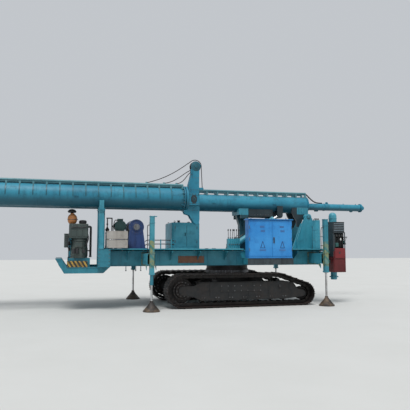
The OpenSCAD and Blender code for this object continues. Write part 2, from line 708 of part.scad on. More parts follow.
module strut_clamps() {
  color(TEAL_D) place() {
    // saddles that hold the strut to the mast
    for (u = [-5200, -2300, 600, 3500, 4860]) difference() {
      bx(u, u + 90, u > 4800 ? 248 : 206, strut_v + 150, tube_z - 175, tube_z + 175);
      cyu(u - 1, u + 91, 0, tube_z, lower_r);
      cyu(u - 1, u + 91, strut_v, tube_z, strut_d / 2);
    }
    // rear pivot of the strut
    difference() {
      for (k = [-1, 1]) bx(strut_u0 - 120, strut_u0 - 2, k < 0 ? 0 : 0, strut_v + 60, tube_z + k * 60 - 20, tube_z + k * 60 + 20);
      cyu(strut_u0 - 130, strut_u0 + 1, 0, tube_z, lower_r);
    }
  }
}
module mast_upper_tube() {
  color(TEAL) place() difference() {
    union() {
      cyu(fold_u + gap, upper_u1, -upper_v, tube_z, upper_r);
      cyu(fold_u + gap, fold_u + gap + 32, -upper_v, tube_z, flange_r);
      for (u = [upper_u1 - 84, upper_u1 - 28]) cyu(u, u + 28, -upper_v, tube_z, upper_r + 55);
      for (z = [2880, 3040, 3200]) {
        cyz(z, z + 50, fold_u, -fold_v, 70);
        bx(fold_u + gap, fold_u + 130, -upper_v + upper_r - 60, -fold_v, z, z + 50);
      }
      // fold pin
      cyz(2780, 3350, fold_u, -fold_v, 30);
    }
    cyu(fold_u + 35, upper_u1 - 20, -upper_v, tube_z, upper_r - tube_t);
  }
}
module mast_rest_shoe() {
  color(TEAL) place() difference() {
    bx(-1297, -1183, -1447, -upper_v - 200, 2650, 2910);
    cyu(-1300, -1180, -upper_v, tube_z, upper_r);
    bx(-1300, -1180, -1330, -1100, 2640, 2720);
  }
}
// outline of the crown plates: [u, z]
CROWN = [[1262, 3980], [1282, 3800], [1240, 3620], [1197, 3460], [1177, 3200], [1177, 2800], [1160, 2760], [1030, 2735],
  [1085, 2610], [1205, 2575], [1270, 2475], [1330, 2378], [1400, 2318], [1490, 2335], [1507, 2470], [1507, 2840], [1495, 3310], [1502, 3850], [1545, 3980]];
module crown_head() {
  color(TEAL) place() {
    difference() {
      union() {
        for (v = [-1150, -970]) {
          side(v, v + 20, CROWN);
          cyv(v, v + 20, crown_u, crown_z, 143);
        }
        // front and rear plates that close the arm into a box
        bx(1475, 1493, -1135, -965, 3200, 3760);
        side(-1135, -965, [[1185, 3200], [1203, 3200], [1218, 3460], [1260, 3620], [1290, 3750], [1272, 3750], [1243, 3620], [1200, 3460]]);
        bx(1240, 1500, -1135, -965, 2480, 2500);
        // base box and its flange
        bx(upper_u1 + 20, 1470, -1280, -720, 2855, 3205);
        cyu(upper_u1, upper_u1 + 28, -upper_v, tube_z, upper_r + 55);
        cyv(-1300, -1275, 1310, 3020, 75);
        // rope socket in front of the arm, and the block that the two short ropes leave from
        bx(1490, 1625, -1130, -1070, 3310, 3370);
        bx(1240, 1290, -1180, -1130, 3750, 3880);
      }
      bx(upper_u1 + 30, 1450, -1260, -740, 2875, 3185);
      cyu(1000, upper_u1, -upper_v, tube_z, upper_r + 56);
      cyv(-1320, -1240, 1310, 3020, 35);
      cyv(-upper_v - 300, -upper_v + 300, crown_u, crown_z, 35.5);
    }
  }
}
module crown_sheaves() {
  color(DARK) place() {
    cyv(-1172, -948, crown_u, crown_z, 35);
    cyv(-1125, -975, crown_u, crown_z, 60);
    for (v = [-1124, -1026]) difference() {
      cyv(v, v + 50, crown_u, crown_z, 150);
      translate([crown_u, v + 25, crown_z]) rotate([90, 0, 0]) rotate_extrude($fn = 72) translate([156, 0]) circle(r = 18, $fn = 32);
    }
  }
}
// a free rope along its route: [u, v, z]
function ring3(p, t, r, n) = let (q = abs(t[1]) > 0.9 ? [1, 0, 0] : [0, 1, 0], a = cross(t, q) / norm(cross(t, q)), b = cross(t, a))
  [for (k = [0:n - 1]) p + r * (a * cos(k * 360 / n) + b * sin(k * 360 / n))];
module rope(P, r) {
  n = 8; m = len(P);
  T = [for (i = [0:m - 1]) let (d = P[min(i + 1, m - 1)] - P[max(i - 1, 0)]) d / norm(d)];
  V = [for (i = [0:m - 1]) for (q = ring3(P[i], T[i], r, n)) q];
  F = concat([for (i = [0:m - 2], k = [0:n - 1]) [i * n + k, i * n + (k + 1) % n, (i + 1) * n + (k + 1) % n, (i + 1) * n + k]],
    [[for (k = [n - 1:-1:0]) k]], [[for (k = [0:n - 1]) (m - 1) * n + k]]);
  polyhedron(V, F);
}
module crown_rope_long() { color(DARK) place() rope(ROPE_L, rope_r); }
module crown_rope_middle() { color(DARK) place() rope(ROPE_M, rope_r); }
module crown_rope_short() { color(DARK) place() rope(ROPE_S, rope_r); }

carbody();
slew_ring();
track_frame_left();
track_frame_right();
track_wheels_left();
track_wheels_right();
track_left();
track_right();
turntable();
main_deck();
rear_tray();
side_walkways();
leg_beams();
leg_housings();
mast_rest_rear();
mast_rest_front();
mast_pedestals();
ram_brackets();
hydraulic_hood();
electric_cabinet();
cabinet_door_rear();
cabinet_door_front();
winch_frame();
winch_drum();
winch_motor();
winch_brake();
resistor_boxes();
engine();
air_cleaner();
exhaust_pipe();
fuel_tank();
cooler_box();
control_console();
pump_column();
jack_rear_left();
jack_rear_right();
jack_front_left();
jack_front_right();
mast_lower_tube();
mast_lower_rails();
mast_heel();
strut();
strut_clamps();
mast_upper_tube();
mast_upper_rails();
mast_rest_shoe();
crown_head();
crown_sheaves();
crown_rope_long();
crown_rope_middle();
crown_rope_short();
raise_barrels();
raise_rods();
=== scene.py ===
import bpy, bmesh, math, random
from mathutils import Vector, Matrix


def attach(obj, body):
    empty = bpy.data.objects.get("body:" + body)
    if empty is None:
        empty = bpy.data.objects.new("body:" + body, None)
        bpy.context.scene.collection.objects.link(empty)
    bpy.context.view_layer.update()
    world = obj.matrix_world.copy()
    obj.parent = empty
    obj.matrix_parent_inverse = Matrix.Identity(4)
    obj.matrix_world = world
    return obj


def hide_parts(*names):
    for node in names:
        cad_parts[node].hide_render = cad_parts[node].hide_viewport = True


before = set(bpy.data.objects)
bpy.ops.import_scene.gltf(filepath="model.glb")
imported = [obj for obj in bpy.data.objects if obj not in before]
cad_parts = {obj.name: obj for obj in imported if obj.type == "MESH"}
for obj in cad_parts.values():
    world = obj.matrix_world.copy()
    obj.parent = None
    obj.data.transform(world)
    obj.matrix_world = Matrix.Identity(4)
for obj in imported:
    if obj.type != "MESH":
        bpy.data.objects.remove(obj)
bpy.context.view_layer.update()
scene = bpy.context.scene
SHIFT = 345.0
random.seed(7)


def P(p):
    """Millimetres along, across and up -> metres in the row frame."""
    return Vector(((p[0] + SHIFT) / 1000.0, p[1] / 1000.0, p[2] / 1000.0))


# ------------------------------------------------------------------ camera
cam_data = bpy.data.cameras.new("camera")
cam = bpy.data.objects.new("camera", cam_data)
scene.collection.objects.link(cam)
cam_data.sensor_width = 36.0
cam_data.lens = 43.9
cam_data.clip_end = 500
tilt = math.radians(5.12)
look = Vector((0.2740 * math.cos(tilt), 0.9617 * math.cos(tilt), math.sin(tilt)))
cam.location = (-1.88, -14.817, 1.6)
cam.rotation_mode = "QUATERNION"
cam.rotation_quaternion = look.to_track_quat("-Z", "Y")
scene.camera = cam


# ------------------------------------------------------------------ mesh code
class Geo:
    """Collects faces of one piece, in millimetres (along, across, up)."""

    def __init__(self):
        self.v, self.f, self.m = [], [], []

    def add(self, verts, faces, m=0):
        n = len(self.v)
        self.v += [Vector(p) for p in verts]
        self.f += [tuple(n + i for i in f) for f in faces]
        self.m += [m] * len(faces)

    def box(self, u0, u1, v0, v1, z0, z1, c=5.0, m=0, at=None, rot=None):
        """Box with chamfered edges; rot is a matrix about the point at."""
        a, b, h = (u1 - u0) / 2, (v1 - v0) / 2, (z1 - z0) / 2
        c = min(c, 0.45 * abs(a), 0.45 * abs(b), 0.45 * abs(h))
        mid = Vector(((u0 + u1) / 2, (v0 + v1) / 2, (z0 + z1) / 2))
        idx, verts = {}, []
        for sx in (-1, 1):
            for sy in (-1, 1):
                for sz in (-1, 1):
                    for ax in range(3):
                        q = [sx * (a - c), sy * (b - c), sz * (h - c)]
                        q[ax] = (sx * a, sy * b, sz * h)[ax]
                        idx[(sx, sy, sz, ax)] = len(verts)
                        p = mid + Vector(q)
                        if rot is not None:
                            o = Vector(at) if at is not None else mid
                            p = o + rot @ (p - o)
                        verts.append(p)
        S = (-1, 1)
        faces = []
        loop = ((-1, -1), (1, -1), (1, 1), (-1, 1))
        for s in S:
            faces.append([idx[(s, p, q, 0)] for p, q in loop])
            faces.append([idx[(p, s, q, 1)] for p, q in loop])
            faces.append([idx[(p, q, s, 2)] for p, q in loop])
        for s in S:
            for t in S:
                faces.append([idx[(s, t, -1, 0)], idx[(s, t, 1, 0)], idx[(s, t, 1, 1)], idx[(s, t, -1, 1)]])
                faces.append([idx[(s, -1, t, 0)], idx[(s, 1, t, 0)], idx[(s, 1, t, 2)], idx[(s, -1, t, 2)]])
                faces.append([idx[(-1, s, t, 1)], idx[(1, s, t, 1)], idx[(1, s, t, 2)], idx[(-1, s, t, 2)]])
                for w in S:
                    faces.append([idx[(s, t, w, 0)], idx[(s, t, w, 1)], idx[(s, t, w, 2)]])
        self.add(verts, faces, m)

    def lathe(self, p0, axis, prof, n=28, m=0, closed=False):
        """prof is a list of (distance along the axis, radius)."""
        p0, d = Vector(p0), Vector(axis).normalized()
        q = Vector((0, 0, 1)) if abs(d.z) < 0.9 else Vector((1, 0, 0))
        a = d.cross(q).normalized()
        b = d.cross(a)
        verts, rings = [], []
        for s, r in prof:
            if r < 0.01:
                rings.append([len(verts)])
                verts.append(p0 + d * s)
            else:
                rings.append([len(verts) + k for k in range(n)])
                for k in range(n):
                    t = 2 * math.pi * k / n
                    verts.append(p0 + d * s + (a * math.cos(t) + b * math.sin(t)) * r)
        faces = []
        pairs = list(zip(rings, rings[1:]))
        if closed:
            pairs.append((rings[-1], rings[0]))
        for x, y in pairs:
            for k in range(n):
                j = (k + 1) % n
                if len(x) == 1 and len(y) == 1:
                    continue
                if len(x) == 1:
                    faces.append([x[0], y[j], y[k]])
                elif len(y) == 1:
                    faces.append([x[k], x[j], y[0]])
                else:
                    faces.append([x[k], x[j], y[j], y[k]])
        self.add(verts, faces, m)

    def cyl(self, p0, p1, r, n=24, c=3.0, m=0, r1=None):
        p0, p1 = Vector(p0), Vector(p1)
        L = (p1 - p0).length
        r1 = r if r1 is None else r1
        c = min(c, L * 0.3, r * 0.4, r1 * 0.4)
        self.lathe(p0, p1 - p0, [(0, 0), (0, r - c), (c, r), (L - c, r1), (L, r1 - c), (L, 0)], n, m)

    def ring(self, p0, p1, r, ri, n=32, c=3.0, m=0):
        p0, p1 = Vector(p0), Vector(p1)
        L = (p1 - p0).length
        c = min(c, L * 0.3, (r - ri) * 0.4)
        self.lathe(p0, p1 - p0, [(0, ri), (0, r - c), (c, r), (L - c, r), (L, r - c), (L, ri)], n, m, True)

    def bead(self, p, axis, R, r=5, n=48, m=0):
        """Weld bead round a tube."""
        self.lathe(p, axis, [(r * math.cos(t), R + r * math.sin(t)) for t in [math.pi * 2 * k / 6 for k in range(6)]], n, m, True)

    def tube(self, path, r, n=8, m=0, caps=True):
        pts = [Vector(p) for p in path]
        k = len(pts)
        T = [(pts[min(i + 1, k - 1)] - pts[max(i - 1, 0)]).normalized() for i in range(k)]
        q = Vector((0, 0, 1)) if abs(T[0].z) < 0.9 else Vector((1, 0, 0))
        a = T[0].cross(q).normalized()
        verts, faces = [], []
        for i in range(k):
            a = (a - T[i] * a.dot(T[i])).normalized()
            b = T[i].cross(a)
            for j in range(n):
                t = 2 * math.pi * j / n
                verts.append(pts[i] + (a * math.cos(t) + b * math.sin(t)) * (r(i) if callable(r) else r))
        for i in range(k - 1):
            for j in range(n):
                faces.append([i * n + j, i * n + (j + 1) % n, (i + 1) * n + (j + 1) % n, (i + 1) * n + j])
        if caps:
            faces.append(list(range(n)))
            faces.append([(k - 1) * n + j for j in range(n)])
        self.add(verts, faces, m)

    def prism(self, plane, pts, w0, w1, c=4.0, m=0):
        """Outline pts in the plane across the given axis, from w0 to w1, with chamfered rims."""
        n = len(pts)
        area = sum(pts[i][0] * pts[(i + 1) % n][1] - pts[(i + 1) % n][0] * pts[i][1] for i in range(n))
        pts = list(pts) if area > 0 else list(reversed(pts))
        inner = []
        for i in range(n):
            a, b, d = Vector(pts[i - 1]), Vector(pts[i]), Vector(pts[(i + 1) % n])
            e0, e1 = (b - a).normalized(), (d - b).normalized()
            n0, n1 = Vector((-e0.y, e0.x)), Vector((-e1.y, e1.x))
            k = (n0 + n1)
            k = k / max(0.35, k.dot(n0)) if k.length > 1e-6 else n0
            inner.append(b + k * c)
        c2 = min(c, (w1 - w0) * 0.4)
        layers = [(inner, w0), (pts, w0 + c2), (pts, w1 - c2), (inner, w1)]
        verts = []
        for outline, w in layers:
            for p in outline:
                x, y = p[0], p[1]
                verts.append({"u": (w, x, y), "v": (x, w, y), "z": (x, y, w)}[plane])
        faces = [list(range(n - 1, -1, -1)), [3 * n + i for i in range(n)]]
        for l in range(3):
            for i in range(n):
                j = (i + 1) % n
                faces.append([l * n + i, l * n + j, (l + 1) * n + j, (l + 1) * n + i])
        self.add(verts, faces, m)

    def bolt(self, p, axis, r=14, h=12, m=0, washer=True):
        p, d = Vector(p), Vector(axis).normalized()
        if washer:
            self.lathe(p, d, [(0, r * 1.35), (3, r * 1.35), (3, 0)], 12, m)
        self.lathe(p, d, [(0, r), (h * 0.8, r), (h, r * 0.82), (h, 0)], 6, m)

    def bolts_circle(self, p, axis, R, count, r=14, h=12, m=0, a0=0.0):
        p, d = Vector(p), Vector(axis).normalized()
        q = Vector((0, 0, 1)) if abs(d.z) < 0.9 else Vector((1, 0, 0))
        a = d.cross(q).normalized()
        b = d.cross(a)
        for k in range(count):
            t = 2 * math.pi * (k + a0) / count
            self.bolt(p + (a * math.cos(t) + b * math.sin(t)) * R, d, r, h, m)

    def bolts_line(self, p0, p1, count, axis, r=12, h=10, m=0):
        p0, p1 = Vector(p0), Vector(p1)
        for k in range(count):
            self.bolt(p0.lerp(p1, k / max(1, count - 1)), axis, r, h, m)

    def make(self, name, body, mats, hide=(), slot=None, angle=35, cord=False):
        me = bpy.data.meshes.new(name)
        me.from_pydata([P(p) for p in self.v], [], self.f)
        for mt in mats:
            me.materials.append(mt)
        me.polygons.foreach_set("material_index", self.m)
        bm = bmesh.new()
        bm.from_mesh(me)
        bmesh.ops.recalc_face_normals(bm, faces=bm.faces)
        for f in bm.faces:
            f.smooth = True
        bm.to_mesh(me)
        bm.free()
        me.set_sharp_from_angle(angle=math.radians(angle))
        o = bpy.data.objects.new(name, me)
        scene.collection.objects.link(o)
        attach(o, body)
        if hide:
            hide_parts(*hide)
        return o


def smooth(points, k=6):
    """Points along a smooth line through the given ones."""
    pts = [Vector(p) for p in points]
    out = []
    for i in range(len(pts) - 1):
        a, b, c, d = pts[max(i - 1, 0)], pts[i], pts[i + 1], pts[min(i + 2, len(pts) - 1)]
        for j in range(k):
            t = j / k
            out.append(0.5 * ((2 * b) + (c - a) * t + (2 * a - 5 * b + 4 * c - d) * t * t + (3 * b - a - 3 * c + d) * t ** 3))
    out.append(pts[-1])
    return out


def rounded(x0, x1, y0, y1, r, n=6):
    out = []
    for cx, cy, a0 in ((x1 - r, y1 - r, 0), (x0 + r, y1 - r, 90), (x0 + r, y0 + r, 180), (x1 - r, y0 + r, 270)):
        for i in range(n + 1):
            t = math.radians(a0 + 90 * i / n)
            out.append((cx + r * math.cos(t), cy + r * math.sin(t)))
    return out


# ------------------------------------------------------------------ materials
def lin(c, a=1.0):
    out = []
    for x in c:
        x = x / 255.0
        out.append(x / 12.92 if x <= 0.04045 else ((x + 0.055) / 1.055) ** 2.4)
    return tuple(out) + (a,)


class Mat:
    def __init__(self, name):
        self.mat = bpy.data.materials.new(name)
        self.mat.use_nodes = True
        self.nt = self.mat.node_tree
        self.bsdf = self.nt.nodes["Principled BSDF"]
        self.tc = self.nt.nodes.new("ShaderNodeTexCoord")
        self.obj = self.tc.outputs["Object"]
        sep = self.nt.nodes.new("ShaderNodeSeparateXYZ")
        self.nt.links.new(self.tc.outputs["Normal"], sep.inputs[0])
        self.nz = sep.outputs[2]
        sp = self.nt.nodes.new("ShaderNodeSeparateXYZ")
        self.nt.links.new(self.obj, sp.inputs[0])
        self.x, self.y, self.z = sp.outputs[0], sp.outputs[1], sp.outputs[2]

    def put(self, value, socket):
        if isinstance(value, (int, float)):
            socket.default_value = value
        elif isinstance(value, tuple):
            socket.default_value = value
        else:
            self.nt.links.new(value, socket)

    def mapping(self, scale, loc=(0, 0, 0), rot=(0, 0, 0)):
        n = self.nt.nodes.new("ShaderNodeMapping")
        self.nt.links.new(self.obj, n.inputs[0])
        n.inputs["Scale"].default_value = scale
        n.inputs["Location"].default_value = loc
        n.inputs["Rotation"].default_value = rot
        return n.outputs[0]

    def noise(self, scale, detail=5, rough=0.6, vec=None, dist=0.0):
        n = self.nt.nodes.new("ShaderNodeTexNoise")
        self.nt.links.new(vec if vec is not None else self.obj, n.inputs["Vector"])
        n.inputs["Scale"].default_value = scale
        n.inputs["Detail"].default_value = detail
        n.inputs["Roughness"].default_value = rough
        n.inputs["Distortion"].default_value = dist
        return n.outputs["Fac"]

    def span(self, fac, a, b, lo=0.0, hi=1.0):
        n = self.nt.nodes.new("ShaderNodeMapRange")
        n.interpolation_type = "SMOOTHSTEP"
        self.put(fac, n.inputs["Value"])
        n.inputs["From Min"].default_value = a
        n.inputs["From Max"].default_value = b
        n.inputs["To Min"].default_value = lo
        n.inputs["To Max"].default_value = hi
        return n.outputs[0]

    def math(self, op, a, b=0.0, c=None):
        n = self.nt.nodes.new("ShaderNodeMath")
        n.operation = op
        self.put(a, n.inputs[0])
        self.put(b, n.inputs[1])
        if c is not None:
            self.put(c, n.inputs[2])
        return n.outputs[0]

    def mix(self, fac, a, b, blend="MIX"):
        n = self.nt.nodes.new("ShaderNodeMix")
        n.data_type = "RGBA"
        n.blend_type = blend
        self.put(fac, n.inputs[0])
        self.put(a, n.inputs[6])
        self.put(b, n.inputs[7])
        return n.outputs[2]

    def finish(self, col, rough, height=None, strength=0.3, distance=0.004, metallic=0.0, spec=None, coat=0.0):
        self.put(col, self.bsdf.inputs["Base Color"])
        self.put(rough, self.bsdf.inputs["Roughness"])
        self.bsdf.inputs["Metallic"].default_value = metallic
        if spec is not None:
            self.bsdf.inputs["Specular IOR Level"].default_value = spec
        if coat:
            self.bsdf.inputs["Coat Weight"].default_value = coat
            self.bsdf.inputs["Coat Roughness"].default_value = 0.25
        if height is not None:
            b = self.nt.nodes.new("ShaderNodeBump")
            b.inputs["Strength"].default_value = strength
            b.inputs["Distance"].default_value = distance
            self.nt.links.new(height, b.inputs["Height"])
            self.nt.links.new(b.outputs[0], self.bsdf.inputs["Normal"])
        return self.mat


def paint(name, base, light, dark, rust=0.35, dust=0.35, streak=0.5, rough=0.42, band=None, stripes=None,
          dust_col=(150, 148, 136), rust_col=(92, 52, 34), seed=0.0, painted_underside_shade=0.0):
    """Weathered paint: faded patches, run-down streaks, chips and rust, dust on what faces up, and painted shade that
    darkens what faces down.
    """
    m = Mat(name)
    off = m.mapping((1, 1, 1), (seed, seed * 0.7, seed * 1.3))
    patch = m.noise(0.8, 6, 0.62, off, 0.4)
    mid = m.noise(4.5, 7, 0.65, off)
    fine = m.noise(42, 5, 0.6, off)
    col = m.mix(m.span(patch, 0.40, 0.66), lin(base), lin(light))
    if stripes is not None:
        col = stripes(m, col)
    col = m.mix(m.math("MULTIPLY", m.span(mid, 0.50, 0.72), 0.55), col, lin(dark))
    col = m.mix(m.span(fine, 0.3, 0.75, 0.0, 0.22), col, lin(light), "MIX")
    side = m.math("SUBTRACT", 1.0, m.math("ABSOLUTE", m.nz))
    runs = m.noise(1.0, 6, 0.7, m.mapping((9.0, 9.0, 0.55), (seed, 0, seed)))
    runs2 = m.noise(1.0, 4, 0.6, m.mapping((34.0, 34.0, 1.4), (seed, 3, 0)))
    wash = m.math("MULTIPLY", m.span(runs, 0.48, 0.74), m.span(side, 0.3, 0.8))
    col = m.mix(m.math("MULTIPLY", wash, streak), col, lin(dark))
    pale = m.math("MULTIPLY", m.span(runs2, 0.56, 0.78), m.span(side, 0.5, 0.9))
    col = m.mix(m.math("MULTIPLY", pale, streak * 0.35), col, lin(light))
    # painted shade: faces that point down are mixed towards the dark colour
    if painted_underside_shade:
        col = m.mix(m.math("MULTIPLY", m.span(m.nz, 0.15, -0.75), painted_underside_shade), col, lin(dark), "MIX")
    chips = m.noise(11, 9, 0.75, off, 0.2)
    where = m.span(m.noise(1.7, 4, 0.6, off), 0.44, 0.62)
    spot = m.math("MULTIPLY", m.span(chips, 0.62, 0.665), where)
    col = m.mix(m.math("MULTIPLY", spot, rust), col, lin(rust_col))
    rings = m.math("MULTIPLY", m.span(chips, 0.56, 0.64), where)
    col = m.mix(m.math("MULTIPLY", rings, rust * 0.35), col, lin(rust_col))
    lie = m.math("MULTIPLY", m.span(m.nz, 0.45, 0.95), m.span(m.noise(3.1, 6, 0.65, off), 0.30, 0.65, 0.45, 1.0))
    col = m.mix(m.math("MULTIPLY", lie, dust), col, lin(dust_col))
    r = m.math("ADD", rough, m.math("MULTIPLY", m.math("SUBTRACT", mid, 0.5), 0.35))
    r = m.math("ADD", r, m.math("MULTIPLY", m.math("ADD", m.math("MULTIPLY", lie, dust), spot), 0.3))
    h = m.math("ADD", m.math("MULTIPLY", m.noise(2.4, 3, 0.5, off), 1.6), m.math("MULTIPLY", fine, 0.16))
    h = m.math("SUBTRACT", h, m.math("MULTIPLY", spot, 0.12))
    return m.finish(col, r, h, 0.35, 0.006, spec=0.45)


def hazard(colour, other, z0, z1, period=0.18, lean=1.0, share=0.5, amount=0.85, axis="xy"):
    """Diagonal bands between two heights, worn off in places."""
    def apply(m, col):
        run = m.math("ADD", m.x, m.y) if axis == "xy" else m.x
        s = m.math("ADD", run, m.math("MULTIPLY", m.z, lean))
        f = m.math("FRACT", m.math("DIVIDE", s, period))
        wob = m.math("MULTIPLY", m.math("SUBTRACT", m.noise(14, 4), 0.5), 0.08)
        on = m.span(m.math("ADD", f, wob), share - 0.03, share + 0.03)
        inside = m.math("MULTIPLY", m.span(m.z, z0 - 0.006, z0 + 0.006), m.span(m.z, z1 + 0.006, z1 - 0.006))
        worn = m.span(m.noise(9, 7, 0.7), 0.34, 0.60, 0.35, 1.0)
        both = m.mix(on, lin(colour), lin(other))
        return m.mix(m.math("MULTIPLY", m.math("MULTIPLY", inside, worn), amount), col, both)
    return apply


def bare(name, base, dark, metallic, rough, seed=0.0, mud=None, mud_amount=0.0, scale=1.0, bump=0.35):
    m = Mat(name)
    off = m.mapping((1, 1, 1), (seed, seed, seed * 0.3))
    a = m.noise(3.0 * scale, 8, 0.65, off, 0.3)
    b = m.noise(22 * scale, 6, 0.65, off)
    col = m.mix(m.span(a, 0.38, 0.66), lin(base), lin(dark))
    col = m.mix(m.span(b, 0.45, 0.75, 0.0, 0.5), col, lin(dark))
    if mud is not None:
        lump = m.math("MULTIPLY", m.span(m.noise(5.5 * scale, 9, 0.72, off, 0.5), 0.44, 0.60), m.span(m.noise(1.1, 3, 0.5, off), 0.30, 0.60, 0.25, 1.0))
        lump = m.math("MINIMUM", 1.0, m.math("ADD", lump, m.span(m.nz, 0.6, 0.95, 0.0, 0.45)))
        col = m.mix(m.math("MULTIPLY", lump, mud_amount), col, lin(mud))
    r = m.math("ADD", rough, m.math("MULTIPLY", m.math("SUBTRACT", a, 0.5), 0.5))
    h = m.math("ADD", m.math("MULTIPLY", a, 0.8), m.math("MULTIPLY", b, 0.5))
    return m.finish(col, r, h, bump, 0.006, metallic=metallic)


TEAL = paint("teal_paint_weathered", (48, 130, 150), (74, 156, 174), (26, 84, 98), rust=0.40, dust=0.30, streak=0.45, seed=1.0, painted_underside_shade=0.5)
TEAL_LOW = paint("low_teal_paint_weathered", (34, 114, 132), (54, 134, 150), (22, 76, 90), rust=0.45, dust=0.32, streak=0.5, seed=1.5, painted_underside_shade=0.5)
TEAL_MAST = paint("mast_paint_weathered", (30, 118, 144), (48, 138, 162), (18, 72, 88), rust=0.30, dust=0.07, streak=0.50, rough=0.50, seed=2.0, painted_underside_shade=0.85)
RAIL = paint("rail_paint_worn", (74, 126, 136), (98, 148, 156), (38, 86, 96), rust=0.45, dust=0.30, streak=0.4, rough=0.36, seed=2.4, painted_underside_shade=0.8)
# Dark teal standing in for shade (painted shade): closing plates below the upper guide rails, straps, strut clamps and
# crown disc.
SHADE = paint("dark_teal_painted_shade", (26, 82, 96), (40, 104, 118), (18, 56, 66), rust=0.4, dust=0.2, streak=0.5, seed=2.7, painted_underside_shade=0.4)
DECK = paint("deck_paint_weathered", (42, 130, 150), (62, 152, 170), (24, 84, 98), rust=0.5, dust=0.32, streak=0.5, seed=3.0, painted_underside_shade=0.5)
HOOD = paint("hood_paint_weathered", (54, 146, 168), (78, 168, 188), (34, 106, 124), rust=0.30, dust=0.32, streak=0.38, seed=4.0, painted_underside_shade=0.4)
# Near-black teal for the mast heel, ram brackets and hub recess: painted shade for parts that sit in shadow.
HEEL_PAINTED_SHADE = paint("heel_dark_painted_shade", (34, 48, 54), (50, 66, 72), (20, 28, 32), rust=0.5, dust=0.3, streak=0.5, rough=0.38, seed=4.5, painted_underside_shade=0.4, dust_col=(96, 96, 90))
BLUE = paint("cabinet_paint", (32, 122, 194), (58, 146, 212), (20, 88, 156), rust=0.18, dust=0.22, streak=0.35, rough=0.34, seed=5.0)
NAVY = paint("winch_paint", (28, 52, 98), (42, 68, 118), (16, 28, 62), rust=0.35, dust=0.35, streak=0.5, seed=6.0)
GREEN = paint("motor_paint", (40, 86, 84), (58, 104, 100), (24, 54, 54), rust=0.35, dust=0.4, streak=0.4, seed=7.0)
BEIGE = paint("resistor_paint", (168, 162, 154), (190, 186, 180), (120, 112, 104), rust=0.6, dust=0.3, streak=0.5, seed=8.0)
ORANGE = paint("cleaner_paint", (164, 104, 54), (186, 128, 78), (112, 66, 34), rust=0.5, dust=0.3, streak=0.5, seed=9.0)
RED = paint("console_paint", (82, 20, 22), (98, 30, 32), (52, 13, 15), rust=0.4, dust=0.22, streak=0.5, seed=10.0)
RED_PANEL = paint("console_panel_paint", (118, 32, 36), (134, 48, 50), (80, 22, 26), rust=0.4, dust=0.22, streak=0.5, seed=11.0)
GREY_DARK = paint("dark_grey_paint", (40, 50, 55), (58, 68, 73), (24, 29, 32), rust=0.45, dust=0.3, streak=0.5, rough=0.5, seed=12.0, dust_col=(96, 94, 86))
ENGINE = paint("engine_paint_oily", (56, 68, 66), (76, 88, 84), (30, 36, 36), rust=0.5, dust=0.45, streak=0.7, rough=0.5, seed=13.0, dust_col=(112, 106, 94))
BLACK = paint("black_parts", (30, 31, 33), (48, 48, 50), (18, 18, 19), rust=0.35, dust=0.45, streak=0.3, rough=0.5, seed=14.0, dust_col=(110, 102, 92))
LEG = paint("leg_paint_banded", (46, 124, 142), (70, 148, 164), (30, 86, 98), rust=0.45, dust=0.3, streak=0.5, seed=15.0,
            stripes=hazard((142, 136, 62), (72, 112, 88), 1.12, 1.84, 0.24, 1.0, 0.66, 0.88))
BOARD = paint("striped_board_paint", (48, 52, 48), (64, 66, 60), (30, 32, 30), rust=0.4, dust=0.2, streak=0.3, seed=16.0,
              stripes=hazard((196, 156, 66), (44, 44, 40), 0.0, 3.0, 0.108, 0.62, 0.46, 0.95, axis="x"))
RUBBER = bare("hose_rubber", (26, 26, 28), (40, 38, 36), 0.0, 0.6, seed=17.0, mud=(96, 88, 78), mud_amount=0.4, bump=0.15)
TRACK = bare("track_steel_muddy", (33, 31, 30), (21, 20, 20), 0.26, 0.64, seed=18.0, mud=(64, 48, 42), mud_amount=0.5, scale=1.2, bump=0.6)
CHAIN = bare("track_chain_oily", (32, 30, 29), (20, 19, 19), 0.35, 0.5, seed=19.0, mud=(62, 48, 42), mud_amount=0.4, bump=0.5)
FRAME = bare("undercarriage_dirty", (29, 31, 32), (20, 21, 22), 0.1, 0.66, seed=20.0, mud=(54, 45, 39), mud_amount=0.35, bump=0.5)
STEEL = bare("machined_steel_worn", (150, 152, 156), (96, 94, 92), 0.85, 0.38, seed=21.0, bump=0.15)
BOLT = bare("bolt_steel", (120, 122, 124), (70, 62, 56), 0.7, 0.45, seed=22.0, bump=0.2)
CHROME = bare("chromed_rod_smeared", (205, 208, 212), (160, 158, 156), 0.95, 0.16, seed=23.0, mud=(120, 104, 88), mud_amount=0.25, bump=0.05)
ROPE = bare("wire_rope_greased", (58, 48, 50), (34, 28, 28), 0.45, 0.5, seed=24.0, scale=3, bump=0.3)
FOOT = bare("foot_steel_muddy", (56, 52, 50), (34, 32, 31), 0.3, 0.65, seed=25.0, mud=(124, 104, 84), mud_amount=0.6, bump=0.6)
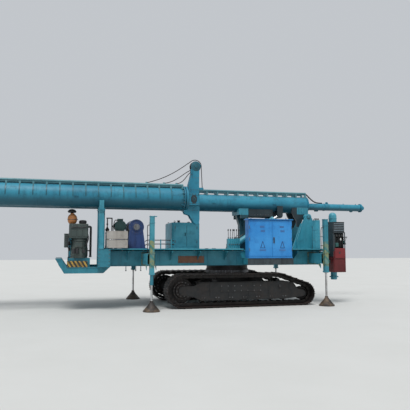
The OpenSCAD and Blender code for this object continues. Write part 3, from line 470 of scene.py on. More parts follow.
# Dark steel for the slew ring and turntable: painted shade for the shadow between deck and tracks, with some mud.
RING_STEEL = bare("ring_steel_painted_shade", (60, 60, 62), (40, 40, 40), 0.5, 0.5, seed=21.5, mud=(56, 50, 44), mud_amount=0.5, bump=0.3)
RUSTY = paint("primer_plate_rusty", (104, 66, 46), (126, 84, 58), (72, 42, 32), rust=0.7, dust=0.3, streak=0.5, seed=25.5)
PLATE_BLUE = paint("blank_plate_blue", (56, 104, 160), (72, 122, 178), (34, 74, 124), rust=0.1, dust=0.1, streak=0.2, seed=26.3)
MARK_DARK = paint("dark_blue_edge", (30, 66, 112), (42, 82, 130), (22, 48, 86), rust=0.1, dust=0.1, streak=0.2, seed=26.6)
GREY_BLUE = paint("louvre_grey_blue", (98, 116, 128), (122, 138, 148), (60, 74, 84), rust=0.2, dust=0.3, streak=0.3, seed=26.8)
PALE = paint("pale_blank_plate", (176, 182, 186), (196, 200, 204), (140, 146, 150), rust=0.1, dust=0.2, streak=0.2, seed=26.0)
WARN = paint("blank_triangle_plate", (206, 176, 62), (220, 196, 96), (160, 130, 48), rust=0.15, dust=0.15, streak=0.2, seed=27.0)
PLASTIC = paint("white_plastic", (206, 208, 206), (222, 224, 222), (170, 172, 170), rust=0.05, dust=0.3, streak=0.2, rough=0.4, seed=28.0)



def above(z, colour, amount=0.9):
    """Another colour over the part above a height (below it when z is negative)."""
    def apply(m, col):
        f = m.span(m.z, z - 0.008, z + 0.008) if z > 0 else m.span(m.z, -z + 0.008, -z - 0.008)
        return m.mix(m.math("MULTIPLY", f, amount), col, lin(colour))
    return apply


REST_REAR = paint("rear_rest_paint", (50, 134, 154), (76, 158, 176), (28, 90, 104), rust=0.40, dust=0.30, streak=0.45, seed=1.2, painted_underside_shade=0.5,
                  stripes=above(-1.62, (32, 110, 128)))
# Painted shade and painted light: dark teal for the column in shadow, pale teal above 2.675 m for the lit saddle.
REST_FRONT = paint("front_rest_painted_shade_and_light", (30, 72, 82), (44, 92, 102), (20, 48, 56), rust=0.45, dust=0.30, streak=0.45, seed=1.7, painted_underside_shade=0.5,
                   stripes=above(2.675, (64, 150, 170)))
CAD_LOOK = {
    "carbody": FRAME, "slew_ring": RING_STEEL, "track_frame_left": FRAME, "track_frame_right": FRAME,
    "track_wheels_left": TRACK, "track_wheels_right": TRACK, "track_left": TRACK, "track_right": TRACK,
    "turntable": RING_STEEL, "main_deck": DECK, "rear_tray": TEAL_LOW, "side_walkways": DECK, "leg_beams": TEAL,
    "leg_housings": LEG, "mast_rest_rear": REST_REAR, "mast_rest_front": REST_FRONT, "mast_pedestals": HOOD, "ram_brackets": HEEL_PAINTED_SHADE,
    "hydraulic_hood": HOOD, "electric_cabinet": BLUE, "cabinet_door_rear": BLUE, "cabinet_door_front": BLUE,
    "winch_frame": NAVY, "winch_drum": STEEL, "winch_motor": GREEN, "winch_brake": BLACK, "resistor_boxes": BEIGE,
    "engine": ENGINE, "air_cleaner": ORANGE, "exhaust_pipe": BLACK, "fuel_tank": DECK, "cooler_box": HOOD,
    "control_console": RED, "pump_column": TEAL, "jack_rear_left": CHROME, "jack_rear_right": CHROME,
    "jack_front_left": CHROME, "jack_front_right": CHROME, "mast_lower_tube": TEAL_MAST, "mast_lower_rails": RAIL,
    "mast_heel": HEEL_PAINTED_SHADE, "strut": TEAL_MAST, "strut_clamps": DECK, "mast_upper_tube": TEAL_MAST,
    "mast_upper_rails": RAIL, "mast_rest_shoe": TEAL, "crown_head": TEAL_MAST, "crown_sheaves": BLACK,
    "crown_rope_long": ROPE, "crown_rope_middle": ROPE, "crown_rope_short": ROPE, "raise_barrels": TEAL, "raise_rods": CHROME,
}
for name, mat in CAD_LOOK.items():
    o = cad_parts.get(name)
    if o is not None:
        o.data.materials.clear()
        o.data.materials.append(mat)
for name in ("carbody", "track_frame_left", "track_frame_right", "main_deck", "rear_tray", "side_walkways", "leg_beams",
             "leg_housings", "mast_rest_rear", "mast_rest_front", "mast_pedestals", "ram_brackets", "winch_frame",
             "mast_heel", "strut_clamps", "mast_rest_shoe", "crown_head", "mast_lower_rails", "mast_upper_rails"):
    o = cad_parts.get(name)
    if o is not None:
        b = o.modifiers.new("edge", "BEVEL")
        b.width = 0.005
        b.segments = 2
        b.limit_method = "ANGLE"
        b.angle_limit = math.radians(40)
        b.harden_normals = False


# ------------------------------------------------------------------ slack ropes
def bez(a, b, c, d, n):
    out = []
    for i in range(n + 1):
        t = i / n
        s = 1 - t
        out.append(tuple(s ** 3 * a[k] + 3 * s * s * t * b[k] + 3 * s * t * t * c[k] + t ** 3 * d[k] for k in range(3)))
    return out


CU, CZ, SV = 1403.0, 3978.0, -1100.0
ROPE_L = ([(1600 - 3 * i, SV, 3370 + 58 * i) for i in range(11)]
          + [(CU + (168 + a / 5) * math.cos(math.radians(a)), SV, CZ + (168 + a / 5) * math.sin(math.radians(a))) for a in range(8, 121, 16)]
          + bez((1290, SV, 4135), (960, -1105, 3900), (620, -1130, 3620), (10, -1130, 3461), 26))
ROPE_M = bez((1240, -1150, 3850), (1080, -1150, 3800), (830, -1130, 3500), (500, -1130, 3461), 15)
ROPE_S = bez((1240, -1150, 3790), (1140, -1150, 3740), (1060, -1130, 3490), (860, -1130, 3461), 9)


def rope(name, pts, node, r=10.4):
    """Laid rope: six strands twisted round the route."""
    P0 = [Vector(p) for p in pts]
    route = []
    for a, b in zip(P0, P0[1:]):
        k = max(1, int((b - a).length / 9))
        route += [a.lerp(b, i / k) for i in range(k)]
    route.append(P0[-1])
    n, g, k = 24, Geo(), len(route)
    T = [(route[min(i + 1, k - 1)] - route[max(i - 1, 0)]).normalized() for i in range(k)]
    a = T[0].cross(Vector((0, 1, 0))).normalized()
    verts, faces, run = [], [], 0.0
    for i in range(k):
        if i:
            run += (route[i] - route[i - 1]).length
        a = (a - T[i] * a.dot(T[i])).normalized()
        b = T[i].cross(a)
        for j in range(n):
            t = 2 * math.pi * j / n
            rr = r + 1.1 * abs(math.sin(3 * (t - run / 72 * 2 * math.pi / 1.0)))
            verts.append(route[i] + (a * math.cos(t) + b * math.sin(t)) * (rr - 0.5))
    for i in range(k - 1):
        for j in range(n):
            faces.append([i * n + j, i * n + (j + 1) % n, (i + 1) * n + (j + 1) % n, (i + 1) * n + j])
    faces.append(list(range(n)))
    faces.append([(k - 1) * n + j for j in range(n)])
    g.add(verts, faces)
    o = g.make(name, "mast_upper", [ROPE], (node,), "wire_rope", angle=70)
    return o


rope("crown_rope_long_laid", ROPE_L, "crown_rope_long")
rope("crown_rope_middle_laid", ROPE_M, "crown_rope_middle")
rope("crown_rope_short_laid", ROPE_S, "crown_rope_short")

# hose that runs from the end of the guide rails down onto the strut
hose_path = smooth([(5345, 130, 3398), (5440, 148, 3440), (5560, 200, 3424), (5700, 265, 3338), (5850, 330, 3250), (6000, 388, 3196), (6150, 418, 3182), (6260, 420, 3180)], 5)
g = Geo()
g.tube(hose_path, 21, 12)
hose = g.make("strut_hose", "mast_lower", [RUBBER], slot="frame_steel")

# ------------------------------------------------------------------ tracks
GAUGE, SHOE_W, NSHOE, GROUSER, CHAIN_H = 2380.0, 600.0, 50, 26.0, 124.0
TV, TW = GAUGE / 2, SHOE_W / 2
RA, RB, RC = 475.0 - GROUSER, 345.0 - GROUSER, 400.0
CA, CB = Vector((985, 475)), Vector((4585, 345))
CARR = Vector((3820, 950 - GROUSER - RC))
dcb = CB - CARR
acb = math.degrees(math.atan2(dcb.y, dcb.x)) + math.degrees(math.acos((RC - RB) / dcb.length))
LOOP = []
for i in range(25):
    a = -90 + (acb + 90) * i / 24
    LOOP.append((CB.x + RB * math.cos(math.radians(a)), CB.y + RB * math.sin(math.radians(a)), a))
for i in range(4):
    a = acb + (90 - acb) * i / 3
    LOOP.append((CARR.x + RC * math.cos(math.radians(a)), CARR.y + RC * math.sin(math.radians(a)), a))
for i in range(31):
    a = 90 + 180 * i / 30
    LOOP.append((CA.x + RA * math.cos(math.radians(a)), CA.y + RA * math.sin(math.radians(a)), a))
LOOP.append((CB.x, CB.y - RB, 270))
SL = [0.0]
for p, q in zip(LOOP, LOOP[1:]):
    SL.append(SL[-1] + math.hypot(q[0] - p[0], q[1] - p[1]))
LT = SL[-1]
PITCH = LT / NSHOE


def onloop(s, h=0.0):
    s = s % LT
    for i in range(len(SL) - 1):
        if SL[i + 1] >= s:
            break
    t = (s - SL[i]) / max(1e-6, SL[i + 1] - SL[i])
    u, z, a = (LOOP[i][k] + (LOOP[i + 1][k] - LOOP[i][k]) * t for k in range(3))
    ca, sa = math.cos(math.radians(a)), math.sin(math.radians(a))
    return Vector((u + h * ca, z + h * sa)), Vector((-sa, ca)), Vector((ca, sa))


def local(s, dx, h, v):
    """Point beside the middle of a link: dx along the run, h outward, v across."""
    p, t, n = onloop(s)
    q = p + t * dx + n * h
    return (q.x, v, q.y)


SHOE = [(-0.49, -14), (-0.49, -3), (-0.40, 2), (-0.36, 14), (-0.33, 14), (-0.29, 1), (-0.06, 1), (-0.035, 25), (0.035, 25), (0.06, 1),
        (0.29, 1), (0.33, 14), (0.36, 14), (0.41, -1), (0.47, -8), (0.50, -22), (0.46, -24), (0.40, -16), (-0.40, -16)]
for side, tag in ((1, "left"), (-1, "right")):
    shoes, chain = Geo(), Geo()
    vc = side * TV
    for k in range(NSHOE):
        s = (k + 0.5) * PITCH
        jit = random.uniform(-3, 3)
        n = len(SHOE)
        for v0, v1 in ((vc - TW + 2, vc + TW - 2),):
            verts = []
            for w, c in ((v0, 5), (v0 + 7, 0), (v1 - 7, 0), (v1, 5)):
                for x, h in SHOE:
                    hh = h - (c if h > -10 else -c * 0.4)
                    verts.append(local(s, x * PITCH * (1 - c / 160), hh, w))
            faces = [list(range(n)), [3 * n + i for i in range(n)]]
            for l in range(3):
                for i in range(n):
                    j = (i + 1) % n
                    faces.append([l * n + i, l * n + j, (l + 1) * n + j, (l + 1) * n + i])
            shoes.add(verts, faces)
        _, _, nn = onloop(s)
        out = (nn.x, 0, nn.y)
        for bx_ in (-0.17, 0.17):
            for bv in (-78, 78):
                shoes.bolt(local(s, bx_ * PITCH, 1, vc + bv), out, 13, 11, 1)
        # links, bush and pin under the shoe
        for w0, w1 in ((vc - 92, vc - 60), (vc + 60, vc + 92)):
            pts = [(-0.52, -52), (-0.47, -36), (-0.3, -30), (0.3, -30), (0.45, -36), (0.52, -60), (0.50, -96), (0.40, -110),
                   (0.15, -112), (0.05, -118), (-0.25, -118), (-0.42, -104), (-0.50, -80)]
            q = [local(s, x * PITCH, h, 0) for x, h in pts]
            chain.prism("v", [(p[0], p[2]) for p in q], w0, w1, 4)
        a = local(s, 0.5 * PITCH, -76, vc - 100)
        b = local(s, 0.5 * PITCH, -76, vc + 100)
        chain.cyl(a, b, 21, 14, 4)
    shoes.make("track_shoes_" + tag, "undercarriage", [TRACK, BOLT], ("track_" + tag,), "track_steel")
    chain.make("track_chain_" + tag, "undercarriage", [CHAIN], (), "track_steel")

    # drive wheel, idler and rollers
    w = Geo()
    ra, rb = RA - CHAIN_H - 5, RB - CHAIN_H - 5
    teeth = []
    nt = 21
    for k in range(nt):
        for f, r in ((0.0, ra - 34), (0.22, ra - 34), (0.38, ra + 10), (0.62, ra + 10), (0.78, ra - 34)):
            t = 2 * math.pi * (k + f) / nt
            teeth.append((CA.x + r * math.cos(t), CA.y + r * math.sin(t)))
    w.prism("v", teeth, vc - 26, vc + 26, 6)
    w.lathe((CA.x, vc - 24, CA.y), (0, -side * 1.0 if side > 0 else 1, 0), [(0, 0), (0, ra - 60), (20, ra - 60), (20, 0)], 36)
    w.lathe((CA.x, vc - 12, CA.y), (0, 1, 0), [(0, 0), (0, ra + 4), (24, ra + 4), (24, 0)], 48)
    for d in (-1, 1):
        w.lathe((CA.x, vc, CA.y), (0, d, 0), [(24, 0), (24, 262), (60, 262), (66, 256), (66, 210), (96, 200), (104, 190), (104, 120), (122, 112), (126, 100), (126, 0)], 40)
        w.bolts_circle((CA.x, vc + d * 66, CA.y), (0, d, 0), 236, 16, 12, 12, 1)
        w.bolts_circle((CA.x, vc + d * 104, CA.y), (0, d, 0), 155, 10, 11, 10, 1)
        w.bolts_circle((CA.x, vc + d * 126, CA.y), (0, d, 0), 70, 6, 9, 8, 1)
        # idler with a dished rim
        w.lathe((CB.x, vc, CB.y), (0, d, 0), [(0, 0), (0, rb), (38, rb), (42, rb - 4), (44, rb - 22), (78, rb - 24), (84, rb - 30), (84, rb - 46),
                                             (40, rb - 58), (34, 90), (70, 74), (100, 68), (126, 62), (128, 56), (128, 0)], 40)
        for k in range(6):
            t = 2 * math.pi * k / 6
            w.box(CB.x + 62, CB.x + rb - 58, vc + d * 36 - 8, vc + d * 36 + 8, CB.y - 8, CB.y + 8, 3, 0,
                  (CB.x, vc + d * 36, CB.y), Matrix.Rotation(t, 3, "Y"))
        for i in range(7):
            u = 1560 + i * 405
            w.lathe((u, vc, 240), (0, d, 0), [(0, 0), (0, 60), (48, 60), (52, 64), (56, 81), (82, 81), (86, 76), (90, 52), (112, 46), (124, 42), (124, 0)], 24)
            w.bolts_circle((u, vc + d * 112, 240), (0, d, 0), 33, 3, 6, 6, 1)
        for u in (1900, 3820):
            w.lathe((u, vc, 752), (0, d, 0), [(0, 0), (0, 34), (58, 34), (62, 41), (80, 41), (84, 36), (84, 0)], 20)
    w.make("track_wheels_turned_" + tag, "undercarriage", [CHAIN, BOLT], ("track_wheels_" + tag,), "track_steel")

    # fittings on the track frame
    t = Geo()
    for d in (-1, 1):
        vs = vc + d * 171
        for i in range(7):
            u = 1560 + i * 405
            t.box(u - 62, u + 62, vs - 9, vs + 9, 196, 300, 6)
            for x in (-40, 40):
                t.bolt((u + x, vs + d * 9, 275), (0, d, 0), 11, 10, 1)
        t.box(2050, 3300, vs - 6, vs + 6, 420, 620, 8)
        t.bolts_line((2090, vs + d * 6, 452), (3260, vs + d * 6, 452), 7, (0, d, 0), 11, 9, 1)
        t.bolts_line((2090, vs + d * 6, 590), (3260, vs + d * 6, 590), 7, (0, d, 0), 11, 9, 1)
        for u in (1750, 2300, 2900, 3500):
            t.box(u - 8, u + 8, vs - 16 if d > 0 else vs - 10, vs + 10 if d > 0 else vs + 16, 320, 680, 3)
        t.box(1440, 4060, vs - 12, vs + 12, 686, 702, 3)
        t.cyl((3850, vs, 560), (3850, vs + d * 26, 560), 40, 20, 4)
        t.bolts_circle((3850, vs + d * 26, 560), (0, d, 0), 26, 4, 7, 6, 1)
    # guard over the drive motor on the inner side
    t.lathe((CA.x, vc - side * 128, CA.y), (0, -side, 0), [(0, 0), (0, 190), (40, 190), (60, 170), (150, 150), (165, 130), (165, 0)], 32)
    t.bolts_circle((CA.x, vc - side * 168, CA.y), (0, -side, 0), 160, 10, 10, 10, 1)
    t.make("track_frame_fittings_" + tag, "undercarriage", [FRAME, BOLT], (), "frame_steel")

# carbody, slew ring and swivel hoses
g = Geo()
g.bolts_circle((2700, 0, 905), (0, 0, -1), 620, 36, 13, 12, 1)
for k in range(90):
    t = 2 * math.pi * k / 90
    g.box(2700 + 646, 2700 + 662, -9, 9, 918, 1000, 2, 2, (2700, 0, 960), Matrix.Rotation(t, 3, "Z"))
for s in (-1, 1):
    for u in (2140, 2960):
        g.box(u - 6, u + 306, s * 880 - 10, s * 880 + 10, 360, 700, 6)
        g.bolts_line((u + 40, s * 892, 400), (u + 260, s * 892, 400), 3, (0, s, 0), 12, 10, 1)
        g.bolts_line((u + 40, s * 892, 660), (u + 260, s * 892, 660), 3, (0, s, 0), 12, 10, 1)
    for k in range(2):
        g.tube(smooth([(2360 + 60 * k, s * 300, 640), (2100, s * 420, 700 + 30 * k), (1700, s * 640, 690 + 30 * k), (1300, s * 800, 620), (1080 + 40 * k, s * 900, 560)], 6), 15, 8, 3)
g.make("carbody_fittings", "undercarriage", [FRAME, BOLT, STEEL, RUBBER], (), "frame_steel")
g = Geo()
g.bolts_circle((2700, 0, 1037), (0, 0, -1), 600, 30, 12, 10, 0)
g.make("turntable_bolts", "platform", [RING_STEEL], (), "machined_steel")

# ------------------------------------------------------------------ deck
g = Geo()
for s in (-1, 1):
    e = s * 930
    lo, hi = (e, e + s * 26) if s > 0 else (e + s * 26, e)
    g.box(-1098, 5408, lo, hi, 1152, 1168, 4)
    g.box(-1098, 5408, lo, hi, 1566, 1580, 4)
    for u in [-640, 420, 1800, 2700, 3560, 4420, 5330]:
        g.box(u - 6, u + 6, min(e, e + s * 12), max(e, e + s * 12), 1168, 1566, 3)
    # one row of weld seams between the side sheets
    for u in (-180, 880, 2240, 3960, 4860):
        g.box(u - 3, u + 3, min(e, e + s * 3), max(e, e + s * 3), 1170, 1564, 1)
    g.bolts_line((-1040, e + s * 13, 1168), (5350, e + s * 13, 1168), 30, (0, 0, 1), 8, 7, 1)
g.box(940, 1700, -946, -928, 1228, 1426, 4, 4)
g.bolts_line((975, -946, 1252), (1665, -946, 1252), 6, (0, -1, 0), 10, 9, 1)
g.bolts_line((975, -946, 1402), (1665, -946, 1402), 6, (0, -1, 0), 10, 9, 1)
# tread plate joints and hatches on the deck
for u in (-560, 470, 1960, 3400, 4420):
    g.box(u - 4, u + 4, -900, 900, 1599, 1604, 1)
for u0, u1, v0, v1 in ((1900, 2500, 260, 800), (3320, 3900, 330, 820), (-600, -40, 260, 800), (1800, 2380, -820, -420)):
    g.box(u0, u1, v0, v1, 1598, 1612, 5)
    for x, y in ((u0 + 30, v0 + 30), (u1 - 30, v0 + 30), (u0 + 30, v1 - 30), (u1 - 30, v1 - 30)):
        g.bolt((x, y, 1612), (0, 0, 1), 10, 8, 1)
    g.tube(smooth([((u0 + u1) / 2 - 60, (v0 + v1) / 2, 1610), ((u0 + u1) / 2 - 55, (v0 + v1) / 2, 1640), ((u0 + u1) / 2 + 55, (v0 + v1) / 2, 1640), ((u0 + u1) / 2 + 60, (v0 + v1) / 2, 1610)], 4), 6, 8, 1)
# lifting eyes
for u in (-1040, 5350):
    for s in (-1, 1):
        g.prism("v", [(u - 50, 1596), (u + 50, 1596), (u + 34, 1660), (u + 14, 1690), (u - 14, 1690), (u - 34, 1660)], s * 860 - 10, s * 860 + 10, 3)
g.make("deck_flanges", "platform", [DECK, BOLT, BLACK, RUBBER, RUSTY], (), "deck_paint")

# walkway edges with toe boards and toggles
g = Geo()
for s in (-1, 1):
    for u0, u1 in ((-1000, 2800), (4300, 5410)):
        e0, e1 = s * 1250, s * 1240
        g.box(u0, u1, min(e0, e1), max(e0, e1), 1566, 1634, 3)
        for k in range(int((u1 - u0) / 90)):
            g.box(u0 + 40 + 90 * k, u0 + 60 + 90 * k, min(s * 960, s * 1220), max(s * 960, s * 1220), 1598, 1604, 1)
    g.bolts_line((-950, s * 1250, 1580), (2750, s * 1250, 1580), 14, (0, s, 0), 8, 6, 1)
g.make("walkway_edges", "platform", [DECK, BOLT], (), "teal_paint")

# short drain stubs and a hose under the rear part of the deck
g = Geo()
for u in (-520, -250, -110):
    g.cyl((u, -880, 1150), (u, -880, 1010), 14, 14, 3)
    g.cyl((u, -880, 1040), (u, -880, 1022), 22, 6, 2, 1)
g.make("deck_drains", "platform", [PALE, BOLT], (), "teal_paint")

# pipes on stands between the winch and the hood
g = Geo()
for k, z in enumerate((1868, 1760)):
    g.tube(smooth([(-20, -1010, z - 40), (60, -1020, z), (300, -1020, z), (640, -1000, z), (800, -960, z - 14), (850, -760, z - 20)], 5), 12, 10, 0)
for u in (110, 420, 720):
    g.box(u - 14, u + 14, -1034, -1006, 1600, 1890, 3, 1)
    g.box(u - 40, u + 40, -1060, -980, 1600, 1612, 3, 1)
    g.bolts_line((u - 26, -1020, 1612), (u + 26, -1020, 1612), 2, (0, 0, 1), 7, 6, 2)
g.make("deck_pipes", "platform", [BLACK, DECK, BOLT], (), "frame_steel")

# valve bank beside the hood, with its hoses
g = Geo()
for k in range(6):
    u = 2494 + 62 * k
    g.box(u, u + 54, -780, -600, 1640, 1930, 7, 0)
    g.cyl((u + 27, -690, 1930), (u + 27, -690, 1975), 17, 14, 3, 1)
    g.tube([(u + 27, -690, 1975), (u + 27 + 5 * (k % 3 - 1), -700, 2060), (u + 27 + 12 * (k % 3 - 1), -712, 2170)], 8, 8, 1)
    g.lathe((u + 27 + 12 * (k % 3 - 1), -712, 2160), (0, -0.1, 1), [(0, 0), (2, 15), (18, 20), (40, 18), (52, 10), (56, 0)], 12, 3)
    g.tube(smooth([(u + 27, -600, 1760), (u + 27, -530, 1760), (u + 44, -480, 1700), (u + 24, -460, 1605)], 4), 12, 8, 2)
    g.cyl((u + 27, -780, 1760), (u + 27, -800, 1760), 18, 6, 3, 1)
g.box(2476, 2876, -800, -580, 1600, 1640, 5, 0)
g.bolts_line((2500, -792, 1640), (2852, -792, 1640), 4, (0, 0, 1), 8, 7, 1)
g.make("valve_bank", "platform", [DECK, BOLT, RUBBER, BLACK], (), "deck_paint")

# ------------------------------------------------------------------ rear tray and board
g = Geo()
g.box(-2092, -1568, -1166, -1158, 1146, 1305, 2, 0)
g.bolts_line((-2075, -1166, 1160), (-1585, -1166, 1160), 4, (0, -1, 0), 7, 6, 1)
g.bolts_line((-2075, -1166, 1291), (-1585, -1166, 1291), 4, (0, -1, 0), 7, 6, 1)
g.make("striped_board", "platform", [BOARD, BOLT], (), "teal_paint")
g = Geo()
for s in (-1, 1):
    v0, v1 = (1150, 1158) if s > 0 else (-1158, -1150)
    g.prism("v", [(-2392, 1366), (-2160, 980), (-1148, 980), (-1160, 992), (-2152, 992), (-2376, 1366)], v0, v1, 2)
    g.box(-2090, -1000, v0, v1, 1120, 1150, 3)
    for u in (-1900, -1600, -1300):
        g.box(u - 6, u + 6, v0, v1, 990, 1122, 2)
    g.bolts_line((-2060, s * 1158, 1136), (-1100, s * 1158, 1136), 9, (0, s, 0), 8, 7, 1)
# rail and lamp brackets on the sloping plate
for v in (-900, -300, 300, 900):
    g.box(-2330, -2200, v - 30, v + 30, 1150, 1180, 4, 0, (-2265, v, 1165), Matrix.Rotation(math.radians(57), 3, "Y"))
g.make("tray_trim", "platform", [TEAL_LOW, BOLT], (), "teal_paint")

# ------------------------------------------------------------------ legs
g = Geo()
for u0 in (45, 5130):
    for s in (-1, 1):
        v = s * 1770
        h = 60
        for z in (1180, 1500):
            g.ring((u0, v, z), (u0, v, z + 1), 1, 0.5)
        g.box(u0 - h - 14, u0 + h + 14, v - h - 14, v + h + 14, 1186, 1200, 3)
        g.box(u0 - h - 14, u0 + h + 14, v - h - 14, v + h + 14, 1500, 1514, 3)
        g.box(u0 - h - 12, u0 + h + 12, v - h - 12, v + h + 12, 2300, 2312, 3)
        for dx in (-1, 1):
            for dy in (-1, 1):
                g.bolt((u0 + dx * 52, v + dy * 52, 2486), (0, 0, 1), 9, 8, 1)
                g.bolt((u0 + dx * 66, v + dy * 66, 1200), (0, 0, 1), 8, 7, 1)
        # gusset and flange where the beam meets the housing
        b0, b1 = s * 930, s * 1706
        for x in (-126, 126):
            g.prism("u", [(b1, 1190), (b1, 1060), (b1 - s * 160, 1190)], u0 + x - 6, u0 + x + 6, 2)
            g.bolts_line((u0 + x * 0.8, b0 + s * 24, 1500), (u0 + x * 0.8, b1 - s * 30, 1500), 5, (0, 0, 1), 9, 8, 1)
        g.box(u0 - 150, u0 + 150, min(b0, b0 + s * 18), max(b0, b0 + s * 18), 1170, 1530, 4)
        for x in (-136, 136):
            g.bolts_line((u0 + x, b0 + s * 18, 1200), (u0 + x, b0 + s * 18, 1500), 4, (0, s, 0), 10, 9, 1)
        # oil ports with a hose down to the beam
        g.cyl((u0 - h, v, 2250), (u0 - h - 34, v, 2250), 13, 14, 2, 1)
        g.tube(smooth([(u0 - h - 30, v, 2250), (u0 - h - 60, v - s * 20, 2200), (u0 - h - 48, v - s * 60, 1900), (u0 - h - 44, v - s * 70, 1640), (u0 - h - 30, v - s * 160, 1530), (u0 - 60, v - s * 300, 1506)], 6), 10, 8, 2)
        for z in (1980, 1720):
            g.box(u0 - h - 62, u0 - h + 2, v - s * 62 - 12, v - s * 62 + 12, z - 8, z + 8, 2, 1)
g.make("leg_fittings", "platform", [LEG, BOLT, RUBBER], (), "teal_paint")

for tag, u0, s in (("rear_left", 45, 1), ("rear_right", 45, -1), ("front_left", 5130, 1), ("front_right", 5130, -1)):
    g = Geo()
    v = s * 1770
    low = 680 if tag == "rear_right" else 930
    g.lathe((u0, v, 0), (0, 0, 1), [(275, 0), (275, 29.5), (low - 2, 29.5)], 32, 0)
    g.lathe((u0, v, 0), (0, 0, 1), [(low, 0), (low, 43), (low + 4, 45.5), (1746, 45.5), (1750, 42), (1750, 0)], 32, 2)
    g.lathe((u0, v, 0), (0, 0, 1), [(0, 0), (0, 216), (5, 222), (26, 224), (32, 216), (40, 206), (96, 160), (150, 112), (214, 62), (228, 56), (236, 47), (270, 46), (275, 42), (275, 0)], 40, 1)
    for k in range(8):
        t = 2 * math.pi * k / 8
        pts = [(44, 32), (204, 32), (196, 52), (60, 212), (44, 212)]
        gg = Geo()
        gg.prism("v", pts, -7, 7, 2, 1)
        R = Matrix.Rotation(t, 3, "Z")
        n0 = len(g.v)
        g.v += [Vector((u0, v, 0)) + R @ p for p in gg.v]
        g.f += [tuple(n0 + i for i in f) for f in gg.f]
        g.m += gg.m
    g.bolts_circle((u0, v, 30), (0, 0, 1), 208, 8, 9, 8, 3, 0.5)
    g.make("jack_foot_" + tag, "jack_" + tag, [CHROME, FOOT, TEAL if low < 900 else CHROME, BOLT], ("jack_" + tag,), "chrome_rod")

# ------------------------------------------------------------------ mast rests and pedestals
g = Geo()
for z in (1626, 2630):
    g.box(-1312, -1168, -1462, -1318, z, z + 12, 3)
for dx in (-1, 1):
    for dy in (-1, 1):
        g.bolt((-1240 + dx * 60, -1390 + dy * 60, 1638), (0, 0, 1), 9, 8, 1)
g.bolts_line((-1290, -1447, 1200), (-1290, -1447, 1580), 5, (0, -1, 0), 10, 9, 1)
g.bolts_line((-1030, -1447, 1200), (-1030, -1447, 1580), 5, (0, -1, 0), 10, 9, 1)
g.box(-1240, -1080, -1453, -1445, 1290, 1500, 4)
for x in (-1305, -1175):
    g.prism("v", [(x - 5, 1620), (x + 5, 1620), (x + 5, 1900), (x - 5, 1900)], -1440, -1340, 2)
g.prism("u", [(-1447, 2560), (-1447, 2640), (-1500, 2640)], -1290, -1190, 3)
for s in (-1, 1):
    g.prism("u", [(s * 100, 1600), (s * 330, 1600), (s * 100, 2200)], -1160, -1144, 3)
    g.bolts_line((-1255, s * 165, 2750), (-1255, s * 165, 2820), 2, (-1, 0, 0), 10, 9, 1)
g.make("rear_rest_fittings", "platform", [REST_REAR, BOLT], (), "teal_paint")

g = Geo()
z1 = 3045 - 265
for s in (-1, 1):
    g.bolts_line((3070, s * 120, 1625), (3280, s * 120, 1625), 4, (0, 0, 1), 10, 9, 1)
    g.prism("u", [(s * 95, 2300), (s * 95, z1 - 100), (s * 300, z1 - 100)], 3180, 3200, 3)
    g.box(3034, 3306, min(s * 270, s * 336), max(s * 270, s * 336), z1 + 84, z1 + 96, 3)
    g.bolts_line((3060, s * 331, z1 - 180), (3280, s * 331, z1 - 180), 3, (0, s, 0), 9, 8, 1)
for z in (1800, 2050, 2300):
    g.box(3096, 3294, -99, 99, z, z + 12, 3)
g.make("front_rest_fittings", "platform", [REST_FRONT, BOLT], (), "deck_paint")

g = Geo()
HU, HZ = 5285.0, 2640.0
for s in (-1, 1):
    f = s * 475
    g.lathe((HU, f, HZ), (0, s, 0), [(0, 0), (0, 76), (8, 76), (12, 72), (12, 46), (28, 43), (32, 38), (32, 0)], 40)
    g.bolts_circle((HU, f + s * 12, HZ), (0, s, 0), 59, 8, 7, 7, 1)
    g.box(HU - 26, HU + 26, min(f + s * 26, f + s * 38), max(f + s * 26, f + s * 38), HZ - 9, HZ + 9, 3, 1)
    # rim and stiffeners of the plate
    lo, hi = (f, f + s * 12) if s > 0 else (f + s * 12, f)
    g.prism("v", [(4868, 1625), (4880, 1625), (4880, 1906), (4868, 1910)], lo, hi, 3)
    g.prism("v", [(5400, 1625), (5410, 1625), (5410, 2575), (5400, 2580)], lo, hi, 3)
    g.prism("v", [(4868, 1906), (4880, 1902), (5084, 2464), (5070, 2472)], lo, hi, 3)
    g.prism("v", [(5070, 2472), (5084, 2464), (5212, 2678), (5202, 2688)], lo, hi, 3)
    g.bolts_line((4900, s * 520, 1625), (5380, s * 520, 1625), 7, (0, 0, 1), 13, 11, 1)
g.box(5404, 5412, -400, 400, 1640, 2080, 4)
g.bolts_line((5400, -380, 2060), (5400, 380, 2060), 8, (1, 0, 0), 9, 8, 1)
g.make("pedestal_trim", "platform", [HOOD, BOLT], (), "teal_paint")

g = Geo()
BU, BZ = HU - 2400, HZ - 900
for s in (-1, 1):
    for k in (-1, 1):
        v = s * 200 + k * 90
        g.lathe((BU, v, BZ), (0, k, 0), [(0, 0), (0, 58), (8, 58), (8, 36), (18, 34), (18, 0)], 24)
        g.bolts_circle((BU, v + k * 8, BZ), (0, k, 0), 47, 4, 6, 6, 1)
        g.box(BU - 170, BU + 170, v - 22 if k > 0 else v - 8, v + 8 if k > 0 else v + 22, 1600, 1616, 3)
g.make("ram_bracket_pins", "platform", [HEEL_PAINTED_SHADE, BOLT], (), "deck_paint")

